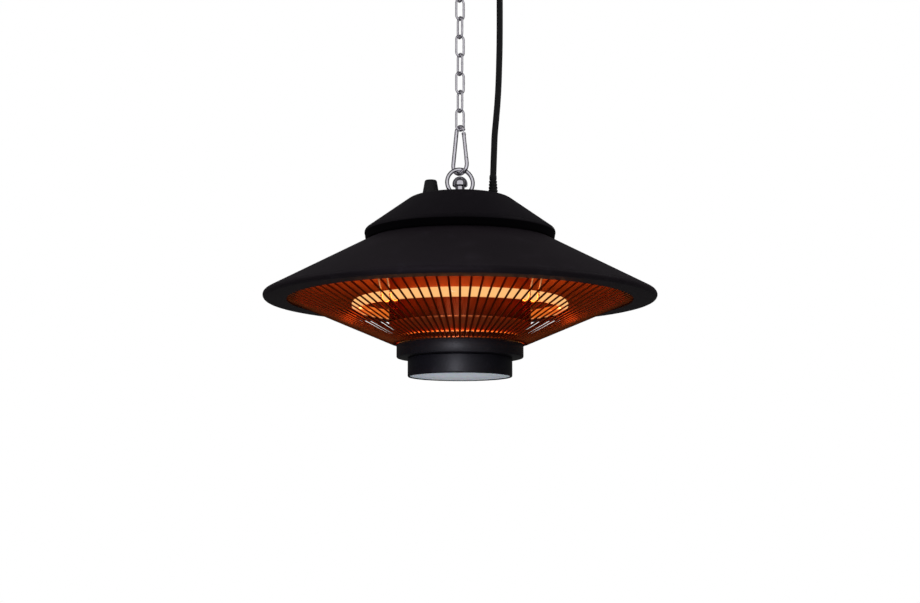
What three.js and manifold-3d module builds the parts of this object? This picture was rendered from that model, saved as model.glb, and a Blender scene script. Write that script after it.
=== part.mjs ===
// Hanging electric patio heater: a round hood with a ring lamp, hung by a lifting ring, a spring hook and a
// link chain from a ceiling hook. Millimetres, +Z up. Heights are written from the middle of the hood's rim,
// and the whole model is then lowered so that its origin is the ceiling, at the top of the ceiling plate.
import * as THREE from "three";
import { mergeVertices } from "three/addons/utils/BufferGeometryUtils.js";
import Module from "manifold-3d";

const wasm = await Module();
wasm.setup();

// Clearances that all pieces share
const gap = 0.3;
const overrun = 1;
const weldGap = 0.0001;
const roundSides = 40;
const coreSides = 32;
const smallSides = 12;

// Hood
const hoodRadius = 212.8;
const hoodBeadRadius = 4.1;
const hoodBeadHeight = -2.7;
const hoodConeSlope = 0.521;
const hoodWall = 1.2;
const hoodDeckRadius = 96;
const hoodDeckRise = 1.6;
const hoodFlangeWidth = 21.6;

// Cap
const capRadius = 104.1;
const capBeadRadius = 5.2;
const capLift = 5.63;
const capConeSlope = 0.7506;
const capWall = 1.5;
const wiringRoom = 44.8633;
const capTopFillet = 14;
const capSkirtDepth = 8.4;
const capSkirtDraw = 1.1;

// Rim lip and reflector
const lipInset = 34.8;
const lipWall = 1.2;
const lipOverlap = 6.3;
const reflectorWall = 1;
const reflectorFlangeWidth = 12;
const reflectorDiscRadius = 95;
const reflectorDiscHeight = 42;

// Guard
const guardBars = 100;
const guardBarWidth = 2.4;
const guardThickness = 1.7;
const guardRingWidth = 3.2;
const guardRingInset = 24.8;
const guardInnerGap = 0.9;
const guardInnerHeight = -53;
const guardInnerWidth = 3;

// Column, collar, cup and lens
const columnRadius = 77;
const columnWall = 1.2;
const columnShoulderHeight = -32;
const columnNeckRadius = 65;
const columnNeckHeight = -45;
const columnBandSize = 2;
const collarRadius = 68.6;
const collarWall = 1.7;
const collarTopHeight = -53.5;
const collarFloorHeight = -66.5;
const collarFloor = 2;
const cupRadius = 56.5;
const cupWall = 2;
const cupRoof = 2;
const cupBottomHeight = -89;
const lensWall = 2;
const lensSinkDepth = 1;
const lensBulge = 3;
const lensRimHeight = 5;
const lensRimWall = 2.4;
const ledBoardThickness = 1.6;
const ledBoardMargin = 1;

// Centre rod and its spacers
const rodRadius = 3;
const rodNutSize = 5.8;
const rodNutHeight = 5;
const rodTail = 1.3;
const spacerRadius = 8;

// Dome nut
const domeNeckRadius = 5.1;
const domeNeckHeight = 6.3;
const domeRadius = 8.3;
const domeHeight = 11.4;
const domeBoreDepth = 11.3;

// Lifting ring
const ringRadius = 14.65;
const ringWire = 2.25;
const ringYaw = 16;
const ringFootRadius = 7;
const ringFootHeight = 5.9;
const ringBottomRise = 2.45;

// Spring hook
const hookletWire = 2.25;
const hookletBottomRadius = 10;
const hookletTopRadius = 5;
const hookletLength = 52.5;
const hookletYaw = -42;
const hingeShare = 0.12;
const noseShare = 0.86;
const hookletTongueTip = 1.2;
const hookletTongueRoot = 0.6;
const hookletTongueHalf = 0.7;
const gateWire = 2.1;
const gateCheek = 0.95;
const gatePinRadius = 0.75;
const gatePinClearance = 0.25;
const noseGap = 0.5;
const wireGap = 0.3;

// Chain
const linkCount = 8;
const linkWire = 1.25;
const linkPitch = 21;
const linkWidth = 12;
const linkYaw = 30;
const linkGap = 0.5;

// Ceiling hook, plate and peg
const hookWire = 3;
const hookRadius = 9;
const hookTipRise = 8;
const hookNeckRise = 9;
const hookCentreRise = 25;
const hookLength = 133;
const pegHeight = 102.7;
const pegLength = 38;
const pegUpturn = 7;
const plateRadius = 30;
const plateThickness = 4;
const plateBossRadius = 7;
const plateBossHeight = 6;
const plateScrewSpacing = 21;
const screwShankRadius = 2;
const screwHeadRadius = 4;
const screwHeadHeight = 2.4;

// Lamp
const lampRadius = 112;
const lampHeight = -11.5;
const lampTubeRadius = 5.25;
const lampTubeWall = 1.2;
const lampEndAngle = 11;
const lampEndHeight = 15;
const filamentGap = 2.45;
const filamentExtra = 2;
const baseWidth = 15;
const baseDepth = 14;
const baseBottomHeight = 8;
const clipWire = 1.1;
const clipAngles = [-50, -130];
const clipFootRadius = 134;
const clipKneeRadius = 128;
const clipKneeDrop = 1;
const clipHalfWidth = 6;
const clipTurnReach = 1.2;
const clipTurnRise = 5;

// Wiring chamber
const leadRadius = 1.3;
const leadHoleRadius = 3.4;
const leadHoleSpacing = 12;
const leadHoleReach = 62;
const ledLeadRadius = 1.4;
const ledLeadReach = 14;
const terminalWidth = 40;
const terminalDepth = 14;
const terminalHeight = 14;
const terminalReach = 45;
const boardWidth = 70;
const boardDepth = 34;
const boardThickness = 1.6;
const boardStandoff = 3.5;
const boardPostRadius = 2;
const boardReach = 40;
const boardPostInset = 4;
const relayWidth = 20;
const relayDepth = 16;
const relayHeight = 15;
const relayOffset = 15;
const cutoutRadius = 8;
const cutoutHeight = 9;
const cutoutReach = 52;

// Switch and cord entry
const switchReach = 32;
const switchBezelRadius = 10;
const switchBezelHeight = 2.2;
const switchBarrelRadius = 8;
const switchBarrelDepth = 22;
const switchNutRadius = 10.5;
const switchNutHeight = 3;
const switchBoreDepth = 14.6;
const switchTravelGap = 2.8;
const buttonBaseRadius = 9.1;
const buttonTopRadius = 6.6;
const buttonHeight = 14.7;
const buttonEdge = 1;
const buttonStemRadius = 5.6;
const buttonStemLength = 14.1;
const glandReach = 36.2;
const glandFlangeRadius = 8;
const glandFlangeHeight = 4;
const glandTopRadius = 5.4;
const glandBodyRadius = 6;
const glandNutRadius = 9;
const glandNutHeight = 4;
const glandTailRadius = 5;
const glandTailDepth = 18;

// Mains cord: the free stretches' points are chosen by hand, the coil's come from a formula
const cordRadius = 3.5;
const cordSides = 8;
const cordStretches = {
  cord_run_1: [[36.2, 0, 111.7], [36.3, -0.1, 128], [36.8, -0.2, 144], [37.4, -0.4, 160.25]],
  cord_run_2: [[37.4, -0.4, 160.55], [38.1, -0.7, 177], [39.6, -1.1, 194], [41, -1.6, 209.65]],
  cord_run_3: [[41, -1.6, 209.95], [42.1, -2.2, 226.5], [42.8, -2.9, 242.5], [43.3, -3.6, 259.1]],
  cord_run_4: [[43.3, -3.6, 259.4], [43.7, -4.3, 275], [43.9, -5, 292], [44, -5.7, 308.5]],
  cord_run_5: [[44, -5.7, 308.8], [44, -6.4, 324.5], [44, -7, 341], [44, -7.4, 357.9]],
  cord_top_run: [[44, -7.4, 358.2], [44, -7.8, 379], [44, -8, 400], [44, -8, 417.7]],
};
const coilCentre = [0.5, -8, 425];
const coilRadius = 43.5;
const coilPitch = 7.7;
const coilLayers = 4;
const coilTurns = 6.5;
const coilSteps = 24;
const coilSides = 6;
const coilEndRun = 7;
const coilTail = 10;
const tieWidth = 6;
const tieWall = 1.2;
const tieAngle = 125;
const tieSlack = 0.5;

// Plug
const plugReliefTop = 3.9;
const plugReliefBase = 5.5;
const plugReliefLength = 20;
const plugRadius = 18.5;
const plugDepth = 22;
const plugBackRadius = 14;
const plugBackDepth = 8;
const plugNeckSide = 15;
const plugNeckLength = 8;
const plugPinRadius = 2.4;
const plugPinLength = 19;
const plugPinSpacing = 19;

// Colours of the finishes
const paintCharcoal = { color: 0x29272a, roughness: 0.55, metalness: 0.3 };
const paintBlack = { color: 0x121114, roughness: 0.4, metalness: 0.2 };
const chrome = { color: 0xc9c9cc, roughness: 0.12, metalness: 1 };
const zinc = { color: 0x9b9da1, roughness: 0.35, metalness: 1 };
const polished = { color: 0xb9a79a, roughness: 0.15, metalness: 1 };
const guardFinish = { color: 0x2a2422, roughness: 0.35, metalness: 0.8 };
const rubber = { color: 0x141416, roughness: 0.7, metalness: 0 };
const plastic = { color: 0x0e0d10, roughness: 0.35, metalness: 0 };
const ceramic = { color: 0xe6e0d2, roughness: 0.6, metalness: 0 };
const quartz = { color: 0xfcc081, roughness: 0.05, metalness: 0, transparent: true, opacity: 0.5 };
const tungsten = { color: 0xffb060, roughness: 0.4, metalness: 0.5 };
const opal = { color: 0xf2efe8, roughness: 0.3, metalness: 0 };
const laminate = { color: 0x1d5a35, roughness: 0.5, metalness: 0 };
const silicone = { color: 0x8c3a2a, roughness: 0.6, metalness: 0 };
const brass = { color: 0xc8a44d, roughness: 0.3, metalness: 1 };

// Small helpers
const radians = THREE.MathUtils.degToRad;
const full = Math.PI * 2;

function signedVolume(geometry) {
  const at = geometry.getAttribute("position");
  const corner = (i) => new THREE.Vector3().fromBufferAttribute(at, geometry.index.getX(i));
  let sum = 0;
  for (let i = 0; i < geometry.index.count; i += 3) {
    sum += corner(i).dot(corner(i + 1).cross(corner(i + 2)));
  }
  return sum / 6;
}

// One closed surface with shared vertices and its faces outwards
function closed(geometry) {
  geometry.deleteAttribute("normal");
  geometry.deleteAttribute("uv");
  const merged = mergeVertices(geometry, weldGap);
  if (signedVolume(merged) < 0) {
    const index = Array.from(merged.index.array);
    merged.setIndex(index.reverse());
  }
  return merged;
}

function solidOf(geometry) {
  const mesh = closed(geometry);
  return new wasm.Manifold(
    new wasm.Mesh({
      numProp: 3,
      vertProperties: new Float32Array(mesh.getAttribute("position").array),
      triVerts: new Uint32Array(mesh.index.array),
    }),
  );
}

function geometryOf(solid) {
  const mesh = solid.getMesh();
  const geometry = new THREE.BufferGeometry();
  geometry.setAttribute("position", new THREE.BufferAttribute(mesh.vertProperties, mesh.numProp));
  geometry.setIndex(new THREE.BufferAttribute(mesh.triVerts, 1));
  return geometry;
}

function joined(...geometries) {
  return geometryOf(geometries.map(solidOf).reduce((whole, next) => whole.add(next)));
}

function cut(geometry, ...tools) {
  return geometryOf(tools.map(solidOf).reduce((whole, tool) => whole.subtract(tool), solidOf(geometry)));
}

// A closed outline of [radius, height] points turned about the Z axis
function turned(outline, sides = roundSides) {
  const points = outline.map(([radius, height]) => new THREE.Vector2(radius, height));
  const onAxis = outline[0][0] === 0;
  const profile = onAxis ? points : [...points, points[0].clone()];
  return closed(new THREE.LatheGeometry(profile, sides).rotateX(Math.PI / 2));
}

// The outline of a sheet: a line of [radius, height] points and the same line moved sideways by the wall
function sheet(line, wall) {
  const moved = line.map((point, i) => {
    const before = line[Math.max(i - 1, 0)];
    const after = line[Math.min(i + 1, line.length - 1)];
    const into = new THREE.Vector2(point[0] - before[0], point[1] - before[1]).normalize();
    const out = new THREE.Vector2(after[0] - point[0], after[1] - point[1]).normalize();
    const first = into.lengthSq() ? into : out;
    const last = out.lengthSq() ? out : into;
    const along = first.clone().add(last).normalize();
    const stretch = wall / Math.max(along.dot(first), weldGap);
    return [point[0] - along.y * stretch, point[1] + along.x * stretch];
  });
  return [...line, ...moved.reverse()];
}

function arc(centreRadius, centreHeight, radius, from, to, steps) {
  return Array.from({ length: steps + 1 }, (_, i) => {
    const angle = radians(from + ((to - from) * i) / steps);
    return [centreRadius + radius * Math.cos(angle), centreHeight + radius * Math.sin(angle)];
  });
}

// A round bar or hole along Z, between two heights
function post(radius, low, high, x = 0, y = 0, sides = smallSides, topRadius = radius) {
  return closed(
    new THREE.CylinderGeometry(topRadius, radius, high - low, sides)
      .rotateX(Math.PI / 2)
      .translate(x, y, (low + high) / 2),
  );
}

function block(width, depth, low, high, x = 0, y = 0) {
  return closed(new THREE.BoxGeometry(width, depth, high - low).translate(x, y, (low + high) / 2));
}

// A tube along a curve through points, with an optional bore
function tube(points, radius, sides, steps, bore = 0) {
  const circle = (size) =>
    Array.from({ length: sides }, (_, i) => {
      const angle = (full * i) / sides;
      return new THREE.Vector2(size * Math.cos(angle), size * Math.sin(angle));
    });
  const section = new THREE.Shape(circle(radius));
  if (bore) section.holes.push(new THREE.Path(circle(bore)));
  const curve = new THREE.CatmullRomCurve3(
    points.map((point) => new THREE.Vector3(...point)),
    false,
    "centripetal",
  );
  return closed(new THREE.ExtrudeGeometry(section, { steps, bevelEnabled: false, extrudePath: curve }));
}

// A wire with mitred corners through 3D points that bend about one side direction
function wire(points, radius, sides, isLoop, side = new THREE.Vector3(0, 1, 0)) {
  const count = points.length;
  const at = points.map((point) => new THREE.Vector3(...point));
  const vertices = [];
  at.forEach((point, i) => {
    const before = isLoop ? at[(i + count - 1) % count] : at[Math.max(i - 1, 0)];
    const after = isLoop ? at[(i + 1) % count] : at[Math.min(i + 1, count - 1)];
    const into = point.clone().sub(before).normalize();
    const out = after.clone().sub(point).normalize();
    const along = into.clone().add(out).normalize();
    const straight = into.lengthSq() ? into : out;
    const across = side.clone().addScaledVector(along, -side.dot(along)).normalize();
    const outward = across.clone().cross(along);
    const mitre = 1 / along.dot(straight);
    for (let k = 0; k < sides; k++) {
      const angle = (full * (k + 0.5)) / sides;
      vertices.push(
        point
          .clone()
          .addScaledVector(outward, radius * mitre * Math.cos(angle))
          .addScaledVector(across, radius * Math.sin(angle)),
      );
    }
  });
  const faces = [];
  const spans = isLoop ? count : count - 1;
  for (let i = 0; i < spans; i++) {
    for (let k = 0; k < sides; k++) {
      const a = i * sides + k;
      const b = i * sides + ((k + 1) % sides);
      const c = ((i + 1) % count) * sides + k;
      const d = ((i + 1) % count) * sides + ((k + 1) % sides);
      faces.push(a, b, d, a, d, c);
    }
  }
  const lastRing = (count - 1) * sides;
  for (let k = 1; !isLoop && k < sides - 1; k++) {
    faces.push(0, k + 1, k, lastRing, lastRing + k, lastRing + k + 1);
  }
  const geometry = new THREE.BufferGeometry().setFromPoints(vertices);
  geometry.setIndex(faces);
  return closed(geometry);
}

// The scene graph: one group for each piece that moves by itself
const model = new THREE.Group();
const ceiling = new THREE.Group();
const chain = new THREE.Group();
const springHook = new THREE.Group();
const liftingRing = new THREE.Group();
const heater = new THREE.Group();
const cord = new THREE.Group();
model.add(ceiling, chain, springHook, liftingRing, heater, cord);

function piece(parent, name, geometry, finish) {
  const mesh = new THREE.Mesh(geometry, new THREE.MeshStandardMaterial({ flatShading: true, ...finish }));
  mesh.name = name;
  parent.add(mesh);
  return mesh;
}

// Hood
const beadCentre = hoodRadius - hoodBeadRadius;
const coneTilt = Math.atan(hoodConeSlope);
const beadTangent = 90 - THREE.MathUtils.radToDeg(coneTilt);
const hoodConeFootRadius = beadCentre + hoodBeadRadius * Math.cos(radians(beadTangent));
const hoodConeFootHeight = hoodBeadHeight + hoodBeadRadius * Math.sin(radians(beadTangent));
const hoodHeightAt = (radius) => hoodConeFootHeight + (hoodConeFootRadius - radius) * hoodConeSlope;
const deckTop = hoodHeightAt(hoodDeckRadius) + hoodDeckRise;
const deckUnder = deckTop - hoodWall;
const flangeUnder = hoodBeadHeight - hoodBeadRadius;
const flangeTop = flangeUnder + hoodWall;
const boreRadius = rodRadius + gap;
const hoodLine = [
  [boreRadius, deckTop],
  [hoodDeckRadius - hoodDeckRise, deckTop],
  [hoodDeckRadius, hoodHeightAt(hoodDeckRadius)],
  ...arc(beadCentre, hoodBeadHeight, hoodBeadRadius, beadTangent, -90, 4),
  [beadCentre - hoodFlangeWidth, flangeUnder],
];
const leadHole = (x, y, low, high) => post(leadHoleRadius, low - overrun, high + overrun, x, y);
const deckHoles = [
  leadHole(leadHoleSpacing, leadHoleReach, deckUnder, deckTop),
  leadHole(-leadHoleSpacing, leadHoleReach, deckUnder, deckTop),
  leadHole(ledLeadReach, 0, deckUnder, deckTop),
];
piece(heater, "hood", cut(turned(sheet(hoodLine, -hoodWall)), ...deckHoles), paintCharcoal);

// Heights that the load path fixes, from the hood's deck up to the ceiling
const capBeadHeight = deckTop + capLift;
const capTopHeight = deckTop + wiringRoom;
const footBottom = capTopHeight + gap;
const footTop = footBottom + ringFootHeight;
const ringBottom = footBottom + ringBottomRise;
const ringCentre = ringBottom + ringRadius;
const hookletBottom = ringCentre + ringRadius - ringWire - hookletWire - wireGap;
const hookletTop = hookletBottom + hookletLength;
const linkLength = linkPitch + 2 * linkWire + wireGap;
const chainBottom = hookletTop - hookletWire - linkWire - linkGap;
const linkBottoms = Array.from({ length: linkCount }, (_, i) => chainBottom + i * linkPitch);
const chainTop = linkBottoms[linkCount - 1] + linkLength;
const throatHeight = chainTop - linkWire - hookWire - wireGap;
const hookTop = throatHeight + hookLength;
const ceilingHeight = hookTop + gap + plateThickness / 2;

// Cap
const capTilt = THREE.MathUtils.radToDeg(Math.atan(capConeSlope));
const capTangent = 90 - capTilt;
const capBeadCentre = capRadius - capBeadRadius;
const capFootRadius = capBeadCentre + capBeadRadius * Math.cos(radians(capTangent));
const capFootHeight = capBeadHeight + capBeadRadius * Math.sin(radians(capTangent));
const capEdgeRadius = capFootRadius - (capTopHeight - capFootHeight) / capConeSlope;
const filletReach = capTopFillet * Math.tan(radians(capTilt / 2));
const capLine = [
  [boreRadius, capTopHeight],
  ...arc(capEdgeRadius - filletReach, capTopHeight - capTopFillet, capTopFillet, 90, capTangent, 2),
  ...arc(capBeadCentre, capBeadHeight, capBeadRadius, capTangent, 0, 3),
  [capRadius - capSkirtDraw, capBeadHeight - capSkirtDepth],
];
const capUnder = capTopHeight - capWall;
const capHole = (radius, x) => post(radius, capUnder - overrun, capTopHeight + overrun, x);
const switchHole = capHole(switchBarrelRadius + gap, -switchReach);
const glandHole = capHole(glandBodyRadius + gap, glandReach);
piece(heater, "top_cap", cut(turned(sheet(capLine, -capWall)), switchHole, glandHole), paintCharcoal);

// Guard: radial bars between an outer ring that lies on the hood's flange and an inner ring round the collar.
// Each bar gives eight points at the top and eight below: the outer ring's edge, the bar's two sides at the
// outer ring, its two sides at the inner ring, and the inner ring's edge.
const guardRingRadius = hoodRadius - guardRingInset;
const guardRingHeight = flangeTop + gap + guardThickness / 2;
const guardTop = guardRingHeight + guardThickness / 2;
const guardInnerRadius = collarRadius + guardInnerGap + guardInnerWidth / 2;
const barFoot = guardInnerRadius + guardInnerWidth / 2;
const barHead = guardRingRadius - guardRingWidth / 2;
function guardGrille() {
  const vertices = [];
  const stops = [
    [guardRingRadius + guardRingWidth / 2, 0, guardRingHeight],
    [barHead, -guardBarWidth / 2, guardRingHeight],
    [barHead, guardBarWidth / 2, guardRingHeight],
    [barFoot, -guardBarWidth / 2, guardInnerHeight],
    [barFoot, guardBarWidth / 2, guardInnerHeight],
    [guardInnerRadius - guardInnerWidth / 2, 0, guardInnerHeight],
  ];
  for (let bar = 0; bar < guardBars; bar++) {
    const angle = (full * bar) / guardBars;
    for (const [radius, aside, height] of stops) {
      const x = radius * Math.cos(angle) - aside * Math.sin(angle);
      const y = radius * Math.sin(angle) + aside * Math.cos(angle);
      vertices.push(new THREE.Vector3(x, y, height + guardThickness / 2));
      vertices.push(new THREE.Vector3(x, y, height - guardThickness / 2));
    }
  }
  const faces = [];
  const top = (bar, stop) => 2 * ((bar % guardBars) * stops.length + stop);
  const under = (bar, stop) => top(bar, stop) + 1;
  const quad = (a, b, c, d) => faces.push(a, b, c, a, c, d);
  const wall = (barA, stopA, barB, stopB) =>
    quad(under(barA, stopA), under(barB, stopB), top(barB, stopB), top(barA, stopA));
  for (let bar = 0; bar < guardBars; bar++) {
    const next = bar + 1;
    const sheets = [
      [[bar, 0], [next, 0], [next, 1], [bar, 2]],
      [[bar, 4], [next, 3], [next, 5], [bar, 5]],
      [[bar, 1], [bar, 2], [bar, 4], [bar, 3]],
    ];
    const corners = [
      [[bar, 0], [bar, 2], [bar, 1]],
      [[bar, 3], [bar, 4], [bar, 5]],
    ];
    for (const points of sheets) {
      quad(...points.map(([which, stop]) => top(which, stop)));
      quad(...points.map(([which, stop]) => under(which, stop)).reverse());
    }
    for (const points of corners) {
      faces.push(...points.map(([which, stop]) => top(which, stop)));
      faces.push(...points.map(([which, stop]) => under(which, stop)).reverse());
    }
    wall(bar, 0, next, 0);
    wall(next, 1, bar, 2);
    wall(bar, 2, bar, 4);
    wall(bar, 3, bar, 1);
    wall(bar, 4, next, 3);
    wall(next, 5, bar, 5);
  }
  const geometry = new THREE.BufferGeometry().setFromPoints(vertices);
  geometry.setIndex(faces);
  return closed(geometry);
}
piece(heater, "guard", guardGrille(), guardFinish);

// Rim lip, held down on the guard's ring by the reflector's flange
const lipUnder = guardTop + gap;
const lipTop = lipUnder + lipWall;
const lipOuterRadius = hoodRadius - lipOverlap;
const lipInnerRadius = hoodRadius - lipInset;
const lipOutline = [
  [lipInnerRadius, lipUnder],
  [lipOuterRadius, lipUnder],
  [lipOuterRadius, lipTop],
  [lipInnerRadius, lipTop],
];
piece(heater, "rim_lip", turned(lipOutline), paintBlack);

// Reflector
const reflectorFlangeHeight = lipTop + gap;
const reflectorMouthRadius = lipInnerRadius - reflectorWall;
const reflectorRun = reflectorMouthRadius - reflectorDiscRadius;
const reflectorSlope = (reflectorDiscHeight - reflectorFlangeHeight) / reflectorRun;
const reflectorHeightAt = (radius) => reflectorDiscHeight - (radius - reflectorDiscRadius) * reflectorSlope;
const reflectorTop = reflectorDiscHeight + reflectorWall;
const reflectorLine = [
  [boreRadius, reflectorDiscHeight],
  [reflectorDiscRadius, reflectorDiscHeight],
  [reflectorMouthRadius, reflectorFlangeHeight],
  [reflectorMouthRadius + reflectorFlangeWidth, reflectorFlangeHeight],
];
const lampEnds = [90 - lampEndAngle, 90 + lampEndAngle];
const lampEndAt = (degrees) => [lampRadius * Math.cos(radians(degrees)), lampRadius * Math.sin(radians(degrees))];
const reflectorHoles = [
  ...lampEnds.map((degrees) => leadHole(...lampEndAt(degrees), reflectorFlangeHeight, reflectorTop)),
  leadHole(ledLeadReach, 0, reflectorDiscHeight, reflectorTop),
];
piece(heater, "reflector", cut(turned(sheet(reflectorLine, reflectorWall)), ...reflectorHoles), polished);

// Column
const columnTop = reflectorDiscHeight - gap;
const columnFoot = collarFloorHeight + gap;
const columnLine = [
  [boreRadius, columnTop],
  [columnRadius, columnTop],
  [columnRadius, columnShoulderHeight],
  [columnNeckRadius, columnNeckHeight],
  [columnNeckRadius, columnFoot],
];
const columnHole = leadHole(ledLeadReach, 0, columnTop - columnWall, columnTop);
piece(heater, "column", cut(turned(sheet(columnLine, -columnWall), coreSides), columnHole), polished);

// Column band: a square ring round the column's neck, right under its shoulder
const bandInner = columnNeckRadius + gap;
const bandTop = columnNeckHeight - gap;
const bandOutline = [
  [bandInner, bandTop - columnBandSize],
  [bandInner + columnBandSize, bandTop - columnBandSize],
  [bandInner + columnBandSize, bandTop],
  [bandInner, bandTop],
];
piece(heater, "column_band", turned(bandOutline, coreSides), polished);

// Collar and cup
const collarUnder = collarFloorHeight - collarFloor;
const collarOutline = [
  [boreRadius, collarUnder],
  [collarRadius, collarUnder],
  [collarRadius, collarTopHeight],
  [collarRadius - collarWall, collarTopHeight],
  [collarRadius - collarWall, collarFloorHeight],
  [boreRadius, collarFloorHeight],
];
const collarHole = leadHole(ledLeadReach, 0, collarUnder, collarFloorHeight);
piece(heater, "base_collar", cut(turned(collarOutline, coreSides), collarHole), paintBlack);

const cupTop = collarUnder - gap;
const cupRoofUnder = cupTop - cupRoof;
const cupInner = cupRadius - cupWall;
const cupOutline = [
  [boreRadius, cupTop],
  [cupRadius, cupTop],
  [cupRadius, cupBottomHeight],
  [cupInner, cupBottomHeight],
  [cupInner, cupRoofUnder],
  [boreRadius, cupRoofUnder],
];
const cupHole = leadHole(ledLeadReach, 0, cupRoofUnder, cupTop);
piece(heater, "base_cup", cut(turned(cupOutline, coreSides), cupHole), paintBlack);

// Lens and lamp board
const lensRadius = cupInner - gap;
const lensUnder = cupBottomHeight + lensSinkDepth;
const lensTop = lensUnder + lensWall;
const lensRimTop = lensTop + lensRimHeight;
const lensSphere = (lensRadius ** 2 + lensBulge ** 2) / (2 * lensBulge);
const lensEdgeAngle = THREE.MathUtils.radToDeg(Math.asin(lensRadius / lensSphere));
const lensOutline = [
  ...arc(0, lensUnder - lensBulge + lensSphere, lensSphere, -90, -90 + lensEdgeAngle, 3),
  [lensRadius, lensRimTop],
  [lensRadius - lensRimWall, lensRimTop],
  [lensRadius - lensRimWall, lensTop],
  [0, lensTop],
];
lensOutline[0][0] = 0;
piece(heater, "lens", turned(lensOutline, coreSides), opal);
const ledBoardUnder = lensRimTop + gap;
const ledBoardTop = ledBoardUnder + ledBoardThickness;
piece(heater, "led_board", post(lensRadius - ledBoardMargin, ledBoardUnder, ledBoardTop, 0, 0, coreSides), laminate);

// Centre rod, nuts and spacers
const rodNutTop = cupRoofUnder - gap;
const domeBottom = footTop + gap;
const domeBoreTop = domeBottom + domeBoreDepth;
const rodTop = domeBoreTop - gap;
const rodBottom = rodNutTop - rodNutHeight - rodTail;
piece(heater, "centre_rod", post(rodRadius, rodBottom, rodTop), zinc);
const rodNut = post(rodNutSize, rodNutTop - rodNutHeight, rodNutTop, 0, 0, 6);
const nutBore = post(boreRadius, rodNutTop - rodNutHeight - overrun, rodNutTop + overrun);
piece(heater, "rod_nut", cut(rodNut, nutBore), zinc);
function spacer(name, low, high) {
  const bar = post(spacerRadius, low, high);
  const bore = post(boreRadius, low - overrun, high + overrun);
  piece(heater, name, cut(bar, bore), zinc);
}
spacer("spacer_upper", deckTop + gap, capUnder - gap);
spacer("spacer_middle", reflectorTop + gap, deckUnder - gap);
spacer("spacer_lower", collarFloorHeight + gap, columnTop - columnWall - gap);

// Dome nut
const domeHeadBottom = domeBottom + domeNeckHeight;
const domeSphereHeight = domeHeadBottom + domeHeight - domeRadius;
const domeOutline = [
  [0, domeBottom],
  [domeNeckRadius, domeBottom],
  [domeNeckRadius, domeHeadBottom],
  [domeRadius, domeHeadBottom],
  ...arc(0, domeSphereHeight, domeRadius, 0, 90, 4),
];
domeOutline[domeOutline.length - 1][0] = 0;
const domeBore = post(boreRadius, domeBottom - overrun, domeBoreTop);
piece(heater, "dome_nut", cut(turned(domeOutline, 16), domeBore), chrome);

// Lifting ring, with a drilled foot that the rod goes through
const hoop = new THREE.TorusGeometry(ringRadius, ringWire, 8, 24).rotateX(Math.PI / 2).translate(0, 0, ringCentre);
const foot = post(ringFootRadius, footBottom, footTop);
const footBore = post(boreRadius, footBottom - overrun, footTop + overrun);
piece(liftingRing, "hanging_ring", cut(joined(hoop, foot), footBore), chrome);
liftingRing.rotation.z = radians(ringYaw);

// Spring hook: a pear-shaped wire, open on one side where the gate closes it
const pearSpan = hookletLength - hookletBottomRadius - hookletTopRadius;
const pearLean = THREE.MathUtils.radToDeg(Math.asin((hookletBottomRadius - hookletTopRadius) / pearSpan));
const pearBottom = hookletBottom + hookletBottomRadius;
const pearTop = hookletTop - hookletTopRadius;
const gateLow = arc(0, pearBottom, hookletBottomRadius, pearLean, pearLean, 1)[0];
const gateHigh = arc(0, pearTop, hookletTopRadius, pearLean, pearLean, 1)[0];
const onGate = (share) => [
  gateHigh[0] + (gateLow[0] - gateHigh[0]) * share,
  gateHigh[1] + (gateLow[1] - gateHigh[1]) * share,
];
const gateHinge = onGate(hingeShare);
const gateNose = onGate(noseShare);
const flat = ([x, z]) => [x, 0, z];
const pearLine = [
  gateNose,
  ...arc(0, pearBottom, hookletBottomRadius, pearLean, -180 - pearLean, 10),
  ...arc(0, pearTop, hookletTopRadius, 180 - pearLean, pearLean, 6),
];
const gateTurn = radians(pearLean);
const gateLine = (along) => flat([gateHinge[0] + along * Math.sin(gateTurn), gateHinge[1] - along * Math.cos(gateTurn)]);
const tongueRise = Math.hypot(gateHigh[0] - gateHinge[0], gateHigh[1] - gateHinge[1]) + hookletTongueRoot;
const tongueLength = tongueRise + hookletTongueTip;
const tongueBox = new THREE.BoxGeometry(2 * hookletWire, 2 * hookletTongueHalf, tongueLength)
  .rotateY(-gateTurn)
  .translate(...gateLine(hookletTongueTip - tongueLength / 2));
const pinOf = (radius, half) => new THREE.CylinderGeometry(radius, radius, 2 * half, 8).translate(...gateLine(0));
const tonguePin = pinOf(gatePinRadius, gateWire + gap);
const pearWire = wire(pearLine.map(flat), hookletWire, 8, false);
piece(springHook, "carabiner_body", joined(pearWire, tongueBox, tonguePin), zinc);

const gateEnd = Math.hypot(gateNose[0] - gateHinge[0], gateNose[1] - gateHinge[1]) - noseGap;
const gateBody = wire([gateLine(-gateCheek * 2), gateLine(gateEnd)], gateWire, 8, false);
const slotHalf = hookletTongueHalf + gap;
const slotLength = hookletWire + hookletTongueTip + gap;
const gateSlot = new THREE.BoxGeometry(4 * gateWire, 2 * slotHalf, slotLength * 2)
  .rotateY(-gateTurn)
  .translate(...gateLine(0));
const gateBore = pinOf(gatePinRadius + gatePinClearance, gateWire * 2);
piece(springHook, "carabiner_gate", cut(gateBody, gateSlot, gateBore), zinc);
springHook.rotation.z = radians(hookletYaw);

// Chain links: a straight-sided loop, each turned a quarter turn from the one below
const linkBend = linkWidth / 2 - linkWire;
const linkLine = [
  ...arc(0, linkBend, linkBend, 180, 360, 5),
  ...arc(0, linkLength - linkBend, linkBend, 0, 180, 5),
];
linkBottoms.forEach((height, i) => {
  const link = piece(chain, `chain_link_${i + 1}`, wire(linkLine.map(flat), linkWire, 6, true), zinc);
  link.position.z = height;
  link.rotation.z = radians(linkYaw - 90 * (i % 2));
});

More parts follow.
